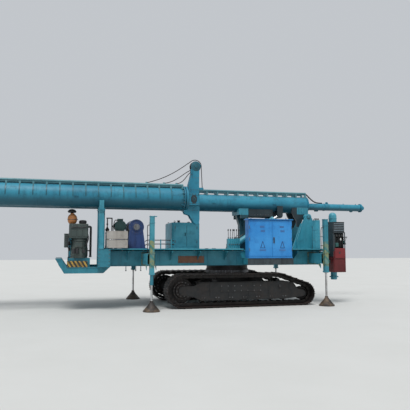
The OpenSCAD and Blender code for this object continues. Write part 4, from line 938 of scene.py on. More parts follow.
# ------------------------------------------------------------------ raising rams
mu, mz = HU - 900, HZ + 50
ram_dir = Vector((mu - BU, 0, mz - BZ)).normalized()
ram_L = math.hypot(mu - BU, mz - BZ)
nrm_ = Vector((-ram_dir.z, 0, ram_dir.x))
g = Geo()
for s in (-1, 1):
    b = Vector((BU, s * 200, BZ))
    g.ring(b + ram_dir * 1470, b + ram_dir * 1550, 104, 62, 32, 5)
    g.bolts_circle(b + ram_dir * 1550, ram_dir, 82, 8, 8, 8, 1)
    g.ring(b + ram_dir * 128, b + ram_dir * 152, 100, 88, 32, 4)
    for d in (260, 1380):
        c = b + ram_dir * d
        g.cyl(c + nrm_ * 80, c + nrm_ * 130, 18, 16, 3, 1)
    g.tube([b + ram_dir * 1380 + nrm_ * 122, b + ram_dir * 1330 + nrm_ * 134, b + ram_dir * 330 + nrm_ * 134, b + ram_dir * 270 + nrm_ * 124], 9, 8, 1)
    for d in (600, 1050):
        c = b + ram_dir * d
        g.ring(c - ram_dir * 12, c + ram_dir * 12, 96, 89, 32, 2, 1)
g.make("ram_glands", "raise_barrels", [TEAL, BOLT], (), "teal_paint")

# ------------------------------------------------------------------ hood
g = Geo()
H0, H1, HV0, HV1, HT = 835.0, 1675.0, -600.0, 470.0, 2400.0
g.prism("z", rounded(H0 + 3, H1 - 3, HV0 + 3, HV1 - 3, 80), 1600, HT - 4, 14)
g.prism("z", rounded(H0, H1, HV0, HV1, 84), 1612, 1660, 5)
g.prism("z", rounded(H0 + 1, H1 - 1, HV0 + 1, HV1 - 1, 84), HT - 70, HT - 52, 4)
# doors on the near and far side, with a gap between the leaves
for s, v in ((-1, HV0), (1, HV1)):
    out = -1 if s < 0 else 1
    mid_u = 1272
    for a, b in ((H0 + 90, mid_u - 5), (mid_u + 5, H1 - 90)):
        lo, hi = sorted((v - out * 3, v + out * 7))
        lo, hi = sorted((v - out * 10, v + out * 0))
        g.box(a, b, lo, hi, 1690, HT - 90, 5)
        for z in (1800, 2200):
            hu = a + 4 if a < mid_u - 100 else b - 4
            g.cyl((hu, v - out * 2, z), (hu, v - out * 2, z + 80), 9, 12, 2, 1)
    g.box(mid_u - 4, mid_u + 4, min(v - out * 2, v - out * 6), max(v - out * 2, v - out * 6), 1690, HT - 90, 1, 2)
    for k in range(9):
        z = 1760 + 24 * k
        lo, hi = sorted((v - out * 6, v + out * -1))
        g.box(960, 1180, lo, hi, z, z + 9, 3, 0, (1070, v, z), Matrix.Rotation(math.radians(-20 * out), 3, "X"))
    g.box(mid_u - 60, mid_u - 34, min(v, v + out * -1 - 0.5), max(v, v - out * 4), 2000, 2090, 3, 1)
# filler neck, breather and eye bolts on the roof
g.lathe((1065, -430, HT - 4), (0, 0, 1), [(0, 0), (0, 40), (16, 40), (18, 34), (34, 34), (36, 44), (60, 44), (66, 36), (66, 0)], 24, 2)
g.lathe((1450, -100, HT - 4), (0, 0, 1), [(0, 0), (0, 26), (20, 26), (24, 40), (44, 40), (50, 30), (50, 0)], 20, 1)
for u in (930, 1580):
    for v in (-500, 380):
        g.lathe((u, v - 6, HT + 22), (0, 1, 0), [(12 * 0.5 * math.cos(t) + 6, 20 + 7 * math.sin(t)) for t in [2 * math.pi * k / 8 for k in range(8)]], 20, 1, True)
for u in (1050, 1450):
    g.box(u - 14, u + 14, HV0 + 60, HV1 - 60, HT - 6, HT + 6, 4)
g.make("hood_shell", "platform", [HOOD, BOLT, BLACK], ("hydraulic_hood",), "teal_paint")

# ------------------------------------------------------------------ electric cabinet
C0, C1, CV, CD, Z0, Z1 = 2890.0, 4230.0, -1450.0, 320.0, 1360.0, 2500.0
MID = (C0 + C1) / 2 + 48
g = Geo()
# box of folded sheet: sides, back, floor, top, front lip
VB = CV + CD
g.box(C0, C0 + 28, CV + 40, VB, Z0, Z1 - 40, 6)
g.box(C1 - 28, C1, CV + 40, VB, Z0, Z1 - 40, 6)
g.box(C0 + 4, C1 - 4, VB - 28, VB, Z0, Z1 - 40, 6)
g.box(C0 + 4, C1 - 4, CV + 40, VB, Z0, Z0 + 32, 6)
g.box(C0 + 4, C1 - 4, CV + 40, VB, Z1 - 70, Z1 - 40, 6)
g.box(C0, C1, CV - 5, CV + 40, Z0, Z0 + 32, 5)
g.prism("u", [(CV - 30, Z1 - 46), (VB + 15, Z1 - 46), (VB + 15, Z1 - 14), ((CV + VB) / 2, Z1), (CV - 30, Z1 - 14)], C0 - 30, C1 + 30, 4)
g.box(C0 - 29, C1 + 29, CV - 30, CV - 22, Z1 - 45, Z1 - 28, 3)
for u in (C0 + 120, C1 - 120):
    g.lathe((u, CV + 160, Z1 + 16), (0, 1, 0), [(5 * math.cos(t), 16 + 5 * math.sin(t)) for t in [2 * math.pi * k / 8 for k in range(8)]], 18, 1, True)
# side louvres
for x, d in ((C0, -1), (C1, 1)):
    for k in range(7):
        z = 2140 + 26 * k
        g.box(x - 4 if d < 0 else x - 2, x + 2 if d < 0 else x + 4, CV + 90, CV + 250, z, z + 10, 2)
    g.box(x - 3 if d < 0 else x - 1, x + 1 if d < 0 else x + 3, CV + 60, CV + 290, 1420, 1435, 1)
# channel rails below
for u in (C0 + 60, C1 - 160):
    g.box(u, u + 100, CV + 26, VB, Z0 - 70, Z0, 6, 4)
# dark front of the shelf, with ribs: painted shade for the shadow beneath the cabinet
g.box(2852, 4268, -1436, -1424, 1184, 1356, 4, 5)
for k in range(9):
    g.box(2880 + 168 * k, 2890 + 168 * k, -1444, -1434, 1190, 1350, 2, 5)
g.box(2852, 4268, -1446, -1426, 1180, 1196, 3, 5)
# gear inside
g.box(C0 + 60, C1 - 60, VB - 46, VB - 36, Z0 + 90, Z1 - 110, 3, 2)
for r in range(4):
    z = 1500 + 215 * r
    g.box(C0 + 100, C1 - 100, VB - 60, VB - 46, z - 8, z + 8, 2, 1)
    for k in range(9):
        u = C0 + 130 + 125 * k
        hgt = 90 + 40 * ((k * 3 + r) % 3)
        g.box(u, u + 84, VB - 130 - 18 * ((k + r) % 3), VB - 48, z - hgt / 2, z + hgt / 2, 5, (4, 2, 5)[(k + r) % 3])
    g.tube(smooth([(C0 + 110, VB - 70, z + 95), (C0 + 500, VB - 80, z + 110), (C1 - 500, VB - 76, z + 98), (C1 - 110, VB - 70, z + 105)], 5), 12, 8, 4)
g.make("cabinet_shell", "platform", [BLUE, BOLT, PALE, DECK, BLACK, GREY_DARK], ("electric_cabinet",), "blue_paint")


def door(name, a, b, hinge, other, plates, node, body):
    g = Geo()
    z0, z1 = Z0 + 40, Z1 - 50
    g.box(a, b, CV, CV + 32, z0, z1, 5)
    # folded rim and stiffener on the inside
    g.box(a + 20, a + 34, CV + 30, CV + 38, z0 + 20, z1 - 20, 2)
    g.box(b - 34, b - 20, CV + 30, CV + 38, z0 + 20, z1 - 20, 2)
    g.box(a + 20, b - 20, CV + 30, CV + 38, (z0 + z1) / 2 - 8, (z0 + z1) / 2 + 8, 2)
    # shallow pressed field on the outside
    for p, q, r, t in ((a + 34, b - 34, z0 + 34, z0 + 38), (a + 34, b - 34, z1 - 38, z1 - 34), (a + 34, a + 38, z0 + 34, z1 - 34), (b - 38, b - 34, z0 + 34, z1 - 34)):
        g.box(p, q, CV - 3, CV + 2, r, t, 1)
    for z in (Z0 + 200, Z0 + 500, Z1 - 300):
        g.cyl((hinge, CV - 3, z), (hinge, CV - 3, z + 90), 8.5, 12, 2, 1)
        lo, hi = sorted((hinge, hinge + (44 if hinge < MID else -44)))
        g.box(lo, hi, CV - 3, CV + 1, z + 12, z + 78, 1, 0)
    for (u, z, w, h) in plates:
        g.box(u - w / 2, u + w / 2, CV - 4, CV + 1, z - h / 2, z + h / 2, 1, 2)
        for dx in (-1, 1):
            for dz in (-1, 1):
                g.lathe((u + dx * (w / 2 - 6), CV - 4, z + dz * (h / 2 - 6)), (0, -1, 0), [(0, 0), (0, 3), (1.5, 2.4), (1.5, 0)], 8, 1)
    for u in [plates[-1][0]]:
        # blank triangle with a dark edge
        g.prism("v", [(u - 78, 1648), (u + 78, 1648), (u + 8, 1846), (u - 8, 1846)], CV - 4, CV + 1, 1, 3)
        g.prism("v", [(u - 50, 1664), (u + 50, 1664), (u + 4, 1802), (u - 4, 1802)], CV - 5.5, CV - 3, 1, 0)
    if other:
        # swing handle with its plate, rods and lock
        g.box(other - 20, other + 20, CV - 8, CV + 1, 1790, 1960, 3, 1)
        g.cyl((other, CV - 8, 1925), (other, CV - 22, 1925), 14, 16, 2, 1)
        g.box(other - 9, other + 9, CV - 27, CV - 15, 1800, 1940, 4, 5)
        g.cyl((other, CV - 6, 1812), (other, CV - 12, 1812), 9, 12, 1, 5)
    g.make(name, body, [BLUE, BOLT, PLATE_BLUE, MARK_DARK, BLUE, BLACK], (node,), "blue_paint")


def front_u(x_px, v):
    k = (x_px - 205) / 500.0
    v = v / 1000.0
    return 1000 * (1.92 + 0.274 * v + k * (14.86 + 0.9617 * v)) / (0.9617 - 0.274 * k)


door("cabinet_door_rear_pressed", C0 + 5, MID - 3, C0 + 9, None, [(3290.0, 2262.0, 130, 50), (3310.0, 2140.0, 130, 56), (3305.0, 1592.0, 190, 44)], "cabinet_door_rear", "cabinet_door_rear")
door("cabinet_door_front_pressed", MID + 3, C1 - 5, C1 - 9, MID + 46, [(3905.0, 2262.0, 130, 50), (3925.0, 2140.0, 130, 56), (3918.0, 1592.0, 190, 44)], "cabinet_door_front", "cabinet_door_front")

# ------------------------------------------------------------------ winch
WU, WZ, WR = -256.0, 2230.0, 210.0
g = Geo()
for v, s in ((-980, -1), (-100, 1), (-860, 1), (-220, -1)):
    outer = v in (-980, -100)
    g.ring((WU, v, WZ), (WU, v + s * 10, WZ), WR - 2, WR - 26, 48, 3)
    if outer:
        g.lathe((WU, v, WZ), (0, s, 0), [(0, 0), (0, 128), (14, 128), (22, 118), (26, 90), (28, 60), (28, 0)], 40, 0)
        g.bolts_circle((WU, v + s * 20, WZ), (0, s, 0), 104, 10, 10, 10, 1)
        g.bolts_circle((WU, v, WZ), (0, s, 0), 176, 14, 9, 9, 1)
        g.lathe((WU, v + s * 26, WZ), (0, s, 0), [(0, 0), (0, 84), (20, 84), (22, 78), (22, 62), (14, 58), (14, 42), (24, 38), (24, 0)], 32, 2)
        g.bolts_circle((WU, v + s * 48, WZ), (0, s, 0), 70, 8, 5, 5, 1)
        for dx in (-150, 0, 150):
            g.prism("u", [(v, 1660), (v + s * 18, 1660), (v + s * 3, 2010), (v, 2010)] if s > 0 else [(v, 1660), (v, 2010), (v - 3, 2010), (v - 18, 1660)], WU + dx - 7, WU + dx + 7, 2)
for u in (WU - 270, WU + 240):
    for v in (-960, -560, -140):
        g.bolt((u, v, 1650), (0, 0, 1), 12, 10, 1)
# guard over the gear on the near side, and tie bars
for dx, z in ((-180, 1780), (190, 1780), (0, 2060)):
    g.cyl((WU + dx, -864, z), (WU + dx, -216, z), 18, 16, 3)
g.make("winch_frame_fittings", "platform", [NAVY, BOLT, STEEL], (), "navy_paint")

g = Geo()
g.cyl((WU, -1003, WZ), (WU, -77, WZ), 39.5, 24, 4, 0)
for a, b in ((-850, -825), (-255, -230)):
    g.lathe((WU, a, WZ), (0, 1, 0), [(0, 0), (0, 188), (6, 195), (19, 195), (25, 188), (25, 0)], 48, 0)
prof = [(0, 132)]
nturn = 22
for k in range(nturn):
    c = (k + 0.5) * 570 / nturn
    for t in (-60, -30, 0, 30, 60):
        prof.append((c + 11.5 * math.sin(math.radians(t)) * 1.0, 146 + 11.5 * math.cos(math.radians(t)) - 2))
prof.append((570, 132))
g.lathe((WU, -825, WZ), (0, 1, 0), prof, 48, 1)
for k in range(6):
    t = math.radians(60 * k)
    g.lathe((WU + 166 * math.cos(t), -852, WZ + 166 * math.sin(t)), (0, -1, 0), [(0, 0), (0, 8), (2, 7), (2, 0)], 12, 2)
g.make("winch_drum_wound", "winch_drum", [STEEL, ROPE, BOLT], ("winch_drum",), "machined_steel")

g = Geo()
MU, MZ = -675.0, 2255.0
prof = [(0, 0), (0, 120), (10, 146), (24, 150)]
g.lathe((MU, -900, MZ), (0, 1, 0), [(0, 0), (0, 118), (12, 148), (22, 152), (70, 152), (74, 140), (450, 140), (454, 152), (470, 152), (470, 118), (570, 112), (574, 40), (574, 0)], 44, 0)
for k in range(36):
    t = 2 * math.pi * k / 36
    g.box(MU + 136, MU + 163, -826, -450, MZ - 3, MZ + 3, 1, 0, (MU, -640, MZ), Matrix.Rotation(t, 3, "Y"))
for k in range(5):
    g.ring((MU, -902 - 0, MZ), (MU, -896, MZ), 30 + 24 * k, 22 + 24 * k, 32, 1, 2)
g.bolts_circle((MU, -900 + 12, MZ), (0, -1, 0), 134, 6, 8, 8, 1)
g.box(MU - 72, MU + 72, -770, -630, MZ + 140, MZ + 200, 8, 0)
g.box(MU - 78, MU + 78, -776, -624, MZ + 198, MZ + 206, 3, 0)
for dx in (-1, 1):
    for dy in (-1, 1):
        g.bolt((MU + dx * 62, -700 + dy * 60, MZ + 205), (0, 0, 1), 6, 5, 1, False)
g.cyl((MU - 72, -700, MZ + 170), (MU - 100, -700, MZ + 170), 16, 14, 2, 2)
g.tube(smooth([(MU - 98, -700, MZ + 170), (MU - 150, -700, MZ + 150), (MU - 190, -680, MZ - 60), (MU - 170, -660, MZ - 330), (MU - 150, -640, 1606)], 6), 11, 8, 2)
# foot frame
for v in (-860, -500):
    g.box(MU - 140, MU + 112, v, v + 26, MZ - 175, MZ - 120, 5, 0)
    for u in (MU - 132, MU + 70):
        g.box(u, u + 40, v - 6, v + 34, 1600, MZ - 160, 4, 3)
    g.box(MU - 140, MU + 112, v - 6, v + 34, 1980, 2030, 4, 3)
g.box(MU - 150, MU + 114, -890, -440, 1600, 1622, 5, 3)
g.box(MU - 120, MU + 104, -850, -480, 1640, 1960, 10, 3)
g.make("winch_motor_finned", "platform", [GREEN, BOLT, BLACK, NAVY], ("winch_motor",), "green_paint")

g = Geo()
g.box(-1085, -865, -700, -500, 1600, 1656, 5, 0)
g.bolts_line((-1065, -600, 1656), (-885, -600, 1656), 2, (0, 0, 1), 9, 8, 1)
g.lathe((-1020, -600, 1656), (0, 0, 1), [(0, 0), (0, 50), (8, 56), (60, 56), (66, 50), (380, 48), (386, 55), (420, 55), (430, 46), (470, 44), (476, 56), (520, 56), (536, 40), (574, 22), (574, 0)], 28, 0)
for k in range(8):
    g.ring((-1020, -600, 1740 + 36 * k), (-1020, -600, 1746 + 36 * k), 54, 46, 24, 1, 0)
g.cyl((-1020, -600, 2225), (-1020, -600, 2482), 17, 16, 3, 1)
g.ring((-1020, -600, 2300), (-1020, -600, 2330), 30, 17, 6, 2, 1)
g.box(-1048, -880, -614, -586, 2468, 2500, 5, 0)
g.box(-905, -880, -640, -560, 1656, 2480, 4, 0)
g.cyl((-892, -650, 2470), (-892, -550, 2470), 14, 14, 2, 1)
g.cyl((-1020, -625, 2484), (-1020, -575, 2484), 12, 14, 2, 1)
for s in (-1, 1):
    g.prism("v", [(-880, 1656), (-868, 1656), (-868, 1700), (-880, 2000)], -600 + s * 38 - 5, -600 + s * 38 + 5, 2, 0)
# shoes round the brake wheel
g.ring((-845, -640, 2255), (-845, -560, 2255), 34, 20, 24, 3, 0)
g.make("winch_brake_parts", "platform", [BLACK, BOLT], ("winch_brake",), "frame_steel")

g = Geo()
for z0, z1 in ((1650, 1868), (1888, 2100)):
    u0, u1, v0, v1 = -1085, -536, -1350, -1030
    g.box(u0, u1, v0, v1, z1 - 14, z1, 4)
    g.box(u0, u1, v0, v1, z0, z0 + 14, 4)
    g.box(u0 + 3, u1 - 3, v0 + 14, v1 - 14, z0 + 8, z1 - 8, 3, 0)
    for u in (u0 + 2, u1 - 22):
        for v in (v0 + 2, v1 - 22):
            g.box(u, u + 20, v, v + 20, z0 + 4, z1 - 4, 3)
    for k in range(8):
        z = z0 + 26 + k * 21
        for v, s in ((v0 + 8, -1), (v1 - 8, 1)):
            g.box(u0 + 24, u1 - 24, v - 5, v + 5, z, z + 12, 2, 0, (0, v, z + 6), Matrix.Rotation(math.radians(28 * s), 3, "X"))
        for u, s in ((u0 + 8, 1), (u1 - 8, -1)):
            g.box(u - 5, u + 5, v0 + 24, v1 - 24, z, z + 12, 2, 0, (u, 0, z + 6), Matrix.Rotation(math.radians(28 * s), 3, "Y"))
    for u in (u0 + 12, u1 - 12):
        g.bolt((u, v0 + 2, z0 + 12), (0, -1, 0), 6, 5, 1, False)
        g.bolt((u, v0 + 2, z1 - 12), (0, -1, 0), 6, 5, 1, False)
for u in (-1060, -600):
    g.box(u, u + 40, -1340, -1040, 1862, 1894, 4, 2)
for u in (-1000, -620):
    g.box(u, u + 60, -1240, -1040, 1600, 1654, 5, 2)
g.tube(smooth([(-540, -1100, 1760), (-500, -1090, 1740), (-480, -1060, 1690), (-470, -1020, 1640)], 5), 12, 8, 3)
g.make("resistor_boxes_louvred", "platform", [BEIGE, BOLT, GREY_DARK, RUBBER], ("resistor_boxes",), "beige_paint")

# ------------------------------------------------------------------ engine
g = Geo()
# round lower housing with bands, ribs and covers
g.lathe((-1780, -900, 1380), (0, 0, 1), [(0, 0), (0, 206), (8, 214), (60, 218), (64, 226), (80, 226), (84, 218), (250, 216), (254, 225), (270, 225), (274, 216), (440, 214), (446, 226), (470, 226), (476, 214), (530, 206), (530, 0)], 56, 0)
for k in range(20):
    t = 2 * math.pi * k / 20
    g.box(-1780 + 208, -1780 + 224, -904, -896, 1466, 1628, 2, 0, (-1780, -900, 1500), Matrix.Rotation(t, 3, "Z"))
g.bolts_circle((-1780, -900, 1850), (0, 0, 1), 214, 16, 7, 10, 1)
g.box(-1900, -1700, -1132, -1105, 1660, 1800, 8, 0)
g.bolts_line((-1888, -1132, 1672), (-1712, -1132, 1672), 3, (0, -1, 0), 7, 6, 1)
g.bolts_line((-1888, -1132, 1788), (-1712, -1132, 1788), 3, (0, -1, 0), 7, 6, 1)
# upper block with side covers, head, injector caps
g.prism("z", rounded(-2056, -1558, -1138, -662, 60), 1905, 2284, 10, 0)
g.prism("z", rounded(-2052, -1562, -1134, -666, 60), 2262, 2292, 5, 0)
for s, v in ((-1, -1139), (1, -661)):
    for k in range(3):
        u = -1990 + 148 * k
        lo, hi = sorted((v, v - s * 8))
        g.box(u, u + 122, v - 9 if s < 0 else v - 3, v + 3 if s < 0 else v + 9, 1950, 2120, 7, 0)
        for dx in (14, 108):
            for z in (1964, 2106):
                g.bolt((u + dx, v + s * 9, z), (0, s, 0), 6, 5, 1, False)
    g.tube(smooth([(-2010, v + s * 10, 2180), (-1900, v + s * 16, 2200), (-1750, v + s * 14, 2190), (-1610, v + s * 10, 2210)], 5), 13, 8, 2)
    for k in range(4):
        u = -1980 + 115 * k
        g.tube(smooth([(u, v + s * 12, 2196), (u + 6, v + s * 20, 2240), (u + 10, v - s * 30, 2290)], 4), 5, 6, 1)
# belt side with pulleys and fan guard, at the rear
for dz, r in ((1640, 70), (1800, 96), (2010, 82)):
    g.lathe((-2010, -900, dz), (-1, 0, 0), [(0, 0), (0, r), (10, r), (16, r - 10), (24, r), (34, r), (34, 20), (46, 18), (46, 0)], 28, 2)
g.lathe((-1700, -900, 2284), (0, 0, 1), [(0, 0), (0, 78), (20, 84), (30, 100), (70, 104), (96, 96), (110, 74), (116, 40), (116, 0)], 36, 2)
g.bolts_circle((-1700, -900, 2314), (0, 0, 1), 92, 8, 6, 5, 1)
# oil filters, starter and pipes towards the camera
for u in (-1930, -1840):
    g.lathe((u, -1165, 1500), (0, 0, 1), [(0, 0), (0, 34), (6, 40), (120, 40), (128, 34), (128, 26), (140, 26), (140, 0)], 20, 2)
g.cyl((-1670, -1090, 1560), (-1670, -1150, 1560), 46, 24, 5, 2)
g.tube(smooth([(-1640, -1080, 1700), (-1600, -1130, 1760), (-1560, -1120, 1900), (-1580, -1060, 2050)], 6), 20, 10, 2)
g.tube(smooth([(-2040, -1060, 1560), (-2075, -1050, 1700), (-2070, -1040, 1880), (-2040, -1020, 2000)], 6), 16, 10, 2)
# dark box left of the engine
g.box(-2175, -2062, -1030, -760, 1660, 2030, 10, 0)
g.box(-2180, -2058, -1036, -754, 2012, 2028, 4, 2)
for k in range(6):
    g.box(-2160, -2074, -1036, -1026, 1700 + 48 * k, 1716 + 48 * k, 2, 2)
g.box(-2090, -2000, -930, -850, 1720, 1780, 4, 2)
# skids below
g.box(-2010, -1590, -1050, -750, 1376, 1402, 5, 0)
for v in (-1055, -795):
    g.box(-2050, -1510, v, v + 50, 1352, 1384, 5, 0)
g.make("engine_unit", "platform", [ENGINE, BOLT, BLACK, ORANGE], ("engine",), "frame_steel")

g = Geo()
g.lathe((-1975, -900, 2284), (0, 0, 1), [(0, 0), (0, 62), (16, 82), (42, 104), (84, 121), (128, 127), (170, 125), (208, 114), (238, 96), (260, 74), (274, 54), (296, 46), (296, 0)], 44, 0)
g.ring((-1975, -900, 2404), (-1975, -900, 2420), 130, 118, 44, 2, 1)
g.box(-1848, -1834, -915, -885, 2398, 2426, 3, 1)
g.lathe((-1988, -900, 2560), (0, 0, 1), [(0, 0), (0, 40), (46, 38), (50, 60), (46, 104), (58, 116), (76, 112), (112, 84), (130, 44), (135, 0)], 40, 2)
for k in range(12):
    t = 2 * math.pi * k / 12
    g.box(-1988 + 40, -1988 + 98, -903, -897, 2596, 2612, 1, 2, (-1988, -900, 2600), Matrix.Rotation(t, 3, "Z"))
g.make("air_cleaner_capped", "platform", [ORANGE, BOLT, BLACK], ("air_cleaner",), "orange_paint")

g = Geo()
g.tube(smooth([(-1565, -900, 2222), (-1520, -900, 2224), (-1492, -900, 2212), (-1485, -900, 2180), (-1485, -900, 2000), (-1485, -900, 1700), (-1485, -900, 1402)], 6), 30, 18, 0)
for z in (1420, 1700, 2050):
    g.ring((-1485, -900, z), (-1485, -900, z + 14), 40, 30, 24, 2, 1)
g.ring((-1572, -900, 2222), (-1558, -900, 2222), 52, 30, 24, 3, 1)
g.box(-1560, -1485, -910, -890, 1560, 1590, 4, 0)
g.make("exhaust_bend", "platform", [BLACK, BOLT], ("exhaust_pipe",), "frame_steel")

g = Geo()
g.prism("z", rounded(-2040, -1560, 280, 1080, 60), 1384, 1956, 18, 0)
for v in (420, 680, 940):
    g.box(-2046, -1554, v - 22, v + 22, 1378, 1390, 3, 1)
    g.box(-2046, -2039, v - 22, v + 22, 1380, 1960, 3, 1)
    g.box(-1561, -1554, v - 22, v + 22, 1380, 1960, 3, 1)
    g.box(-2046, -1554, v - 22, v + 22, 1954, 1962, 3, 1)
g.lathe((-1800, 560, 1956), (0, 0, 1), [(0, 0), (0, 46), (20, 46), (22, 56), (44, 56), (50, 48), (50, 0)], 28, 2)
g.lathe((-1640, 1080, 1440), (0, 1, 0), [(0, 0), (0, 20), (16, 20), (22, 12), (22, 0)], 16, 1)
g.make("fuel_tank_strapped", "platform", [DECK, GREY_DARK, BLACK], ("fuel_tank",), "deck_paint")

# ------------------------------------------------------------------ cooler, console, column
g = Geo()
U0, U1, V0, V1 = 5130.0, 5285.0, -1190.0, -1000.0
g.prism("z", rounded(U0 + 8, U1 - 8, V0 + 8, V1 - 8, 18), 1606, 2494, 6, 0)
for u in (U0, U1 - 16):
    for v in (V0, V1 - 16):
        g.box(u, u + 16, v, v + 16, 1600, 2500, 4, 0)
for z in (1604, 1890, 2180, 2470):
    g.box(U0, U1, V0, V1, z, z + 22, 5, 0)
for k in range(5):
    u = U0 + 22 + 24 * k
    for v, s in ((V0, -1), (V1, 1)):
        lo, hi = (v, v + 14) if s < 0 else (v - 14, v)
        g.box(u, u + 10, lo, hi, 1630, 2470, 3, 0)
for k in range(6):
    v = V0 + 22 + 26 * k
    g.box(U0, U0 + 12, v, v + 10, 1630, 2470, 3, 0)
    g.box(U1 - 12, U1, v, v + 10, 1630, 2470, 3, 0)
for k, u in enumerate((5154, 5207, 5260)):
    g.lathe((u, -1150, 2490), (0, 0, 1), [(0, 0), (0, 18), (14, 18), (14, 13), (34, 13), (36, 16), (54, 15), (55, 0)], 16, 1)
    g.tube(smooth([(u, -1150, 2535), (u + 3, -1130, 2540), (u + 6, -1060, 2530), (u + 8, -975, 2440), (u + 6, -965, 2200), (u + 4, -962, 1900), (u + 4, -962, 1610)], 5), 11, 8, 2)
# pipe manifold between this box and the pedestal
for k in range(3):
    g.tube(smooth([(5330 + 24 * k, -620, 1604), (5330 + 24 * k, -640, 1900), (5326 + 24 * k, -650, 2200), (5300 + 24 * k, -660, 2330)], 5), 11, 8, 2)
g.make("cooler_ribbed", "platform", [HOOD, BOLT, RUBBER], ("cooler_box",), "deck_paint")

g = Geo()
A0, A1, B0, B1 = 5600.0, 6010.0, -1400.0, -1040.0
# lower cupboard in red, frame, inset panel and skirt
g.box(A0 + 4, A1 - 4, B0 + 14, B1 - 4, 934, 1560, 6, 0)
for u in (A0, A1 - 26):
    for v in (B0, B1 - 26):
        g.box(u, u + 26, v, v + 26, 930, 1560, 5, 0)
        g.box(u, u + 26, v, v + 26, 1560, 2130, 5, 3)
for z in (930, 1325):
    g.box(A0, A1, B0, B1, z, z + 22, 5, 0)
for z in (1560, 2104):
    g.box(A0, A1, B0, B1, z, z + 26, 5, 3)
g.box(A0 + 34, A1 - 34, B0 + 6, B0 + 18, 960, 1318, 5, 0)
# dark upper half of the left side, painted shade on the side face turned away from the light; red panel at the front
g.box(A0 - 4, A0 + 8, B0 + 4, B1 - 4, 1400, 2128, 4, 3)
g.bolts_line((A0 - 4, B0 + 24, 1420), (A0 - 4, B1 - 24, 1420), 4, (-1, 0, 0), 7, 6, 2)
g.box(5640, 5996, B0 - 3, B0 + 14, 1352, 1650, 6, 1)
for x in (5654, 5982):
    for z in (1366, 1636):
        g.bolt((x, B0 - 3, z), (0, -1, 0), 7, 6, 2, False)
g.box(5790, 5830, B0 - 10, B0 - 2, 1480, 1540, 3, 3)
# open middle with dark back, pipes, gauges and a bottle
g.box(A0 + 10, A1 - 10, B1 - 40, B1 - 8, 1560, 2110, 4, 3)
g.box(A0 + 4, A0 + 16, B0 + 20, B1 - 20, 1560, 2110, 4, 3)
g.box(A1 - 14, A1 - 3, B0 + 90, B1 - 20, 1560, 2110, 4, 3)
g.box(A0 + 30, 5690, B0 + 40, B1 - 40, 1560, 2070, 8, 3)
for k in range(5):
    u = 5715 + 54 * k
    g.tube(smooth([(u, -1330, 1700), (u + 6, -1350, 1800), (u - 8, -1335, 1940), (u + 4, -1310, 2080)], 5), 12, 8, 4)
for k in range(3):
    c = (5740 + 92 * k, -1362, 2030)
    g.lathe(c, (0, -1, 0), [(0, 0), (0, 36), (16, 36), (18, 32), (14, 30), (14, 0)], 24, 3)
    g.lathe((c[0], c[1] - 14.5, c[2]), (0, -1, 0), [(0, 0), (0, 29), (1, 28), (1, 0)], 24, 4)
g.lathe((5880, -1352, 1880), (0, 0, 1), [(0, 0), (0, 18), (6, 22), (50, 22), (60, 16), (64, 9), (76, 9), (78, 0)], 20, 6)
g.box(5700, 5800, -1370, -1240, 1690, 1810, 8, 5)
# louvred top box
g.box(5606, 5994, -1388, -1046, 2132, 2432, 8, 3)
g.box(5604, 5998, -1394, -1044, 2424, 2440, 4, 3)
for k in range(5):
    z = 2168 + 52 * k
    g.box(5640, 5970, -1398, -1386, z, z + 15, 3, 7, (5800, -1389, z + 8), Matrix.Rotation(math.radians(-24), 3, "X"))
    # dark strips in the gaps between the slats: painted shade for the opening behind them
    g.box(5640, 5970, -1392, -1386, z + 17, z + 36, 2, 4)
for k in range(9):
    z = 2160 + 28 * k
    g.box(5990, 6002, -1360, -1080, z, z + 14, 3, 3, (5996, -1220, z + 7), Matrix.Rotation(math.radians(-30), 3, "Y"))
# levers at the right side
for k in range(4):
    v = -1360 + 60 * k
    g.box(5990, 6030, v - 20, v + 20, 1800, 1880, 5, 5)
    g.tube([(6025, v, 1860), (6060, v, 1920), (6085, v, 1975)], 6, 8, 2)
    g.lathe((6083, v, 1970), (0.4, 0, 1), [(0, 0), (3, 12), (14, 15), (26, 10), (30, 0)], 14, 4)
g.box(6004, 6040, -1390, -1150, 1760, 1800, 4, 3)
# carrying arms
for z in (1200, 1480):
    g.box(5410, 5604, -1200, -1100, z, z + 80, 6, 5)
    g.bolts_line((5596, -1180, z + 82), (5596, -1120, z + 82), 2, (0, 0, 1), 9, 8, 2)
g.box(5410, 5438, -1200, -930, 1280, 1480, 6, 5)
g.bolts_line((5438, -1170, 1310), (5438, -960, 1310), 3, (1, 0, 0), 10, 9, 2)
g.bolts_line((5438, -1170, 1450), (5438, -960, 1450), 3, (1, 0, 0), 10, 9, 2)
for k in range(4):
    g.tube(smooth([(5640 + 40 * k, -1080, 1600), (5560, -1050 + 10 * k, 1560 - 12 * k), (5470, -1010, 1500 - 16 * k), (5412, -930, 1470 - 20 * k)], 5), 13, 8, 4)
g.make("console_cupboard", "platform", [RED, RED_PANEL, BOLT, GREY_DARK, RUBBER, GREEN, PLASTIC, GREY_BLUE], ("control_console",), "red_paint")

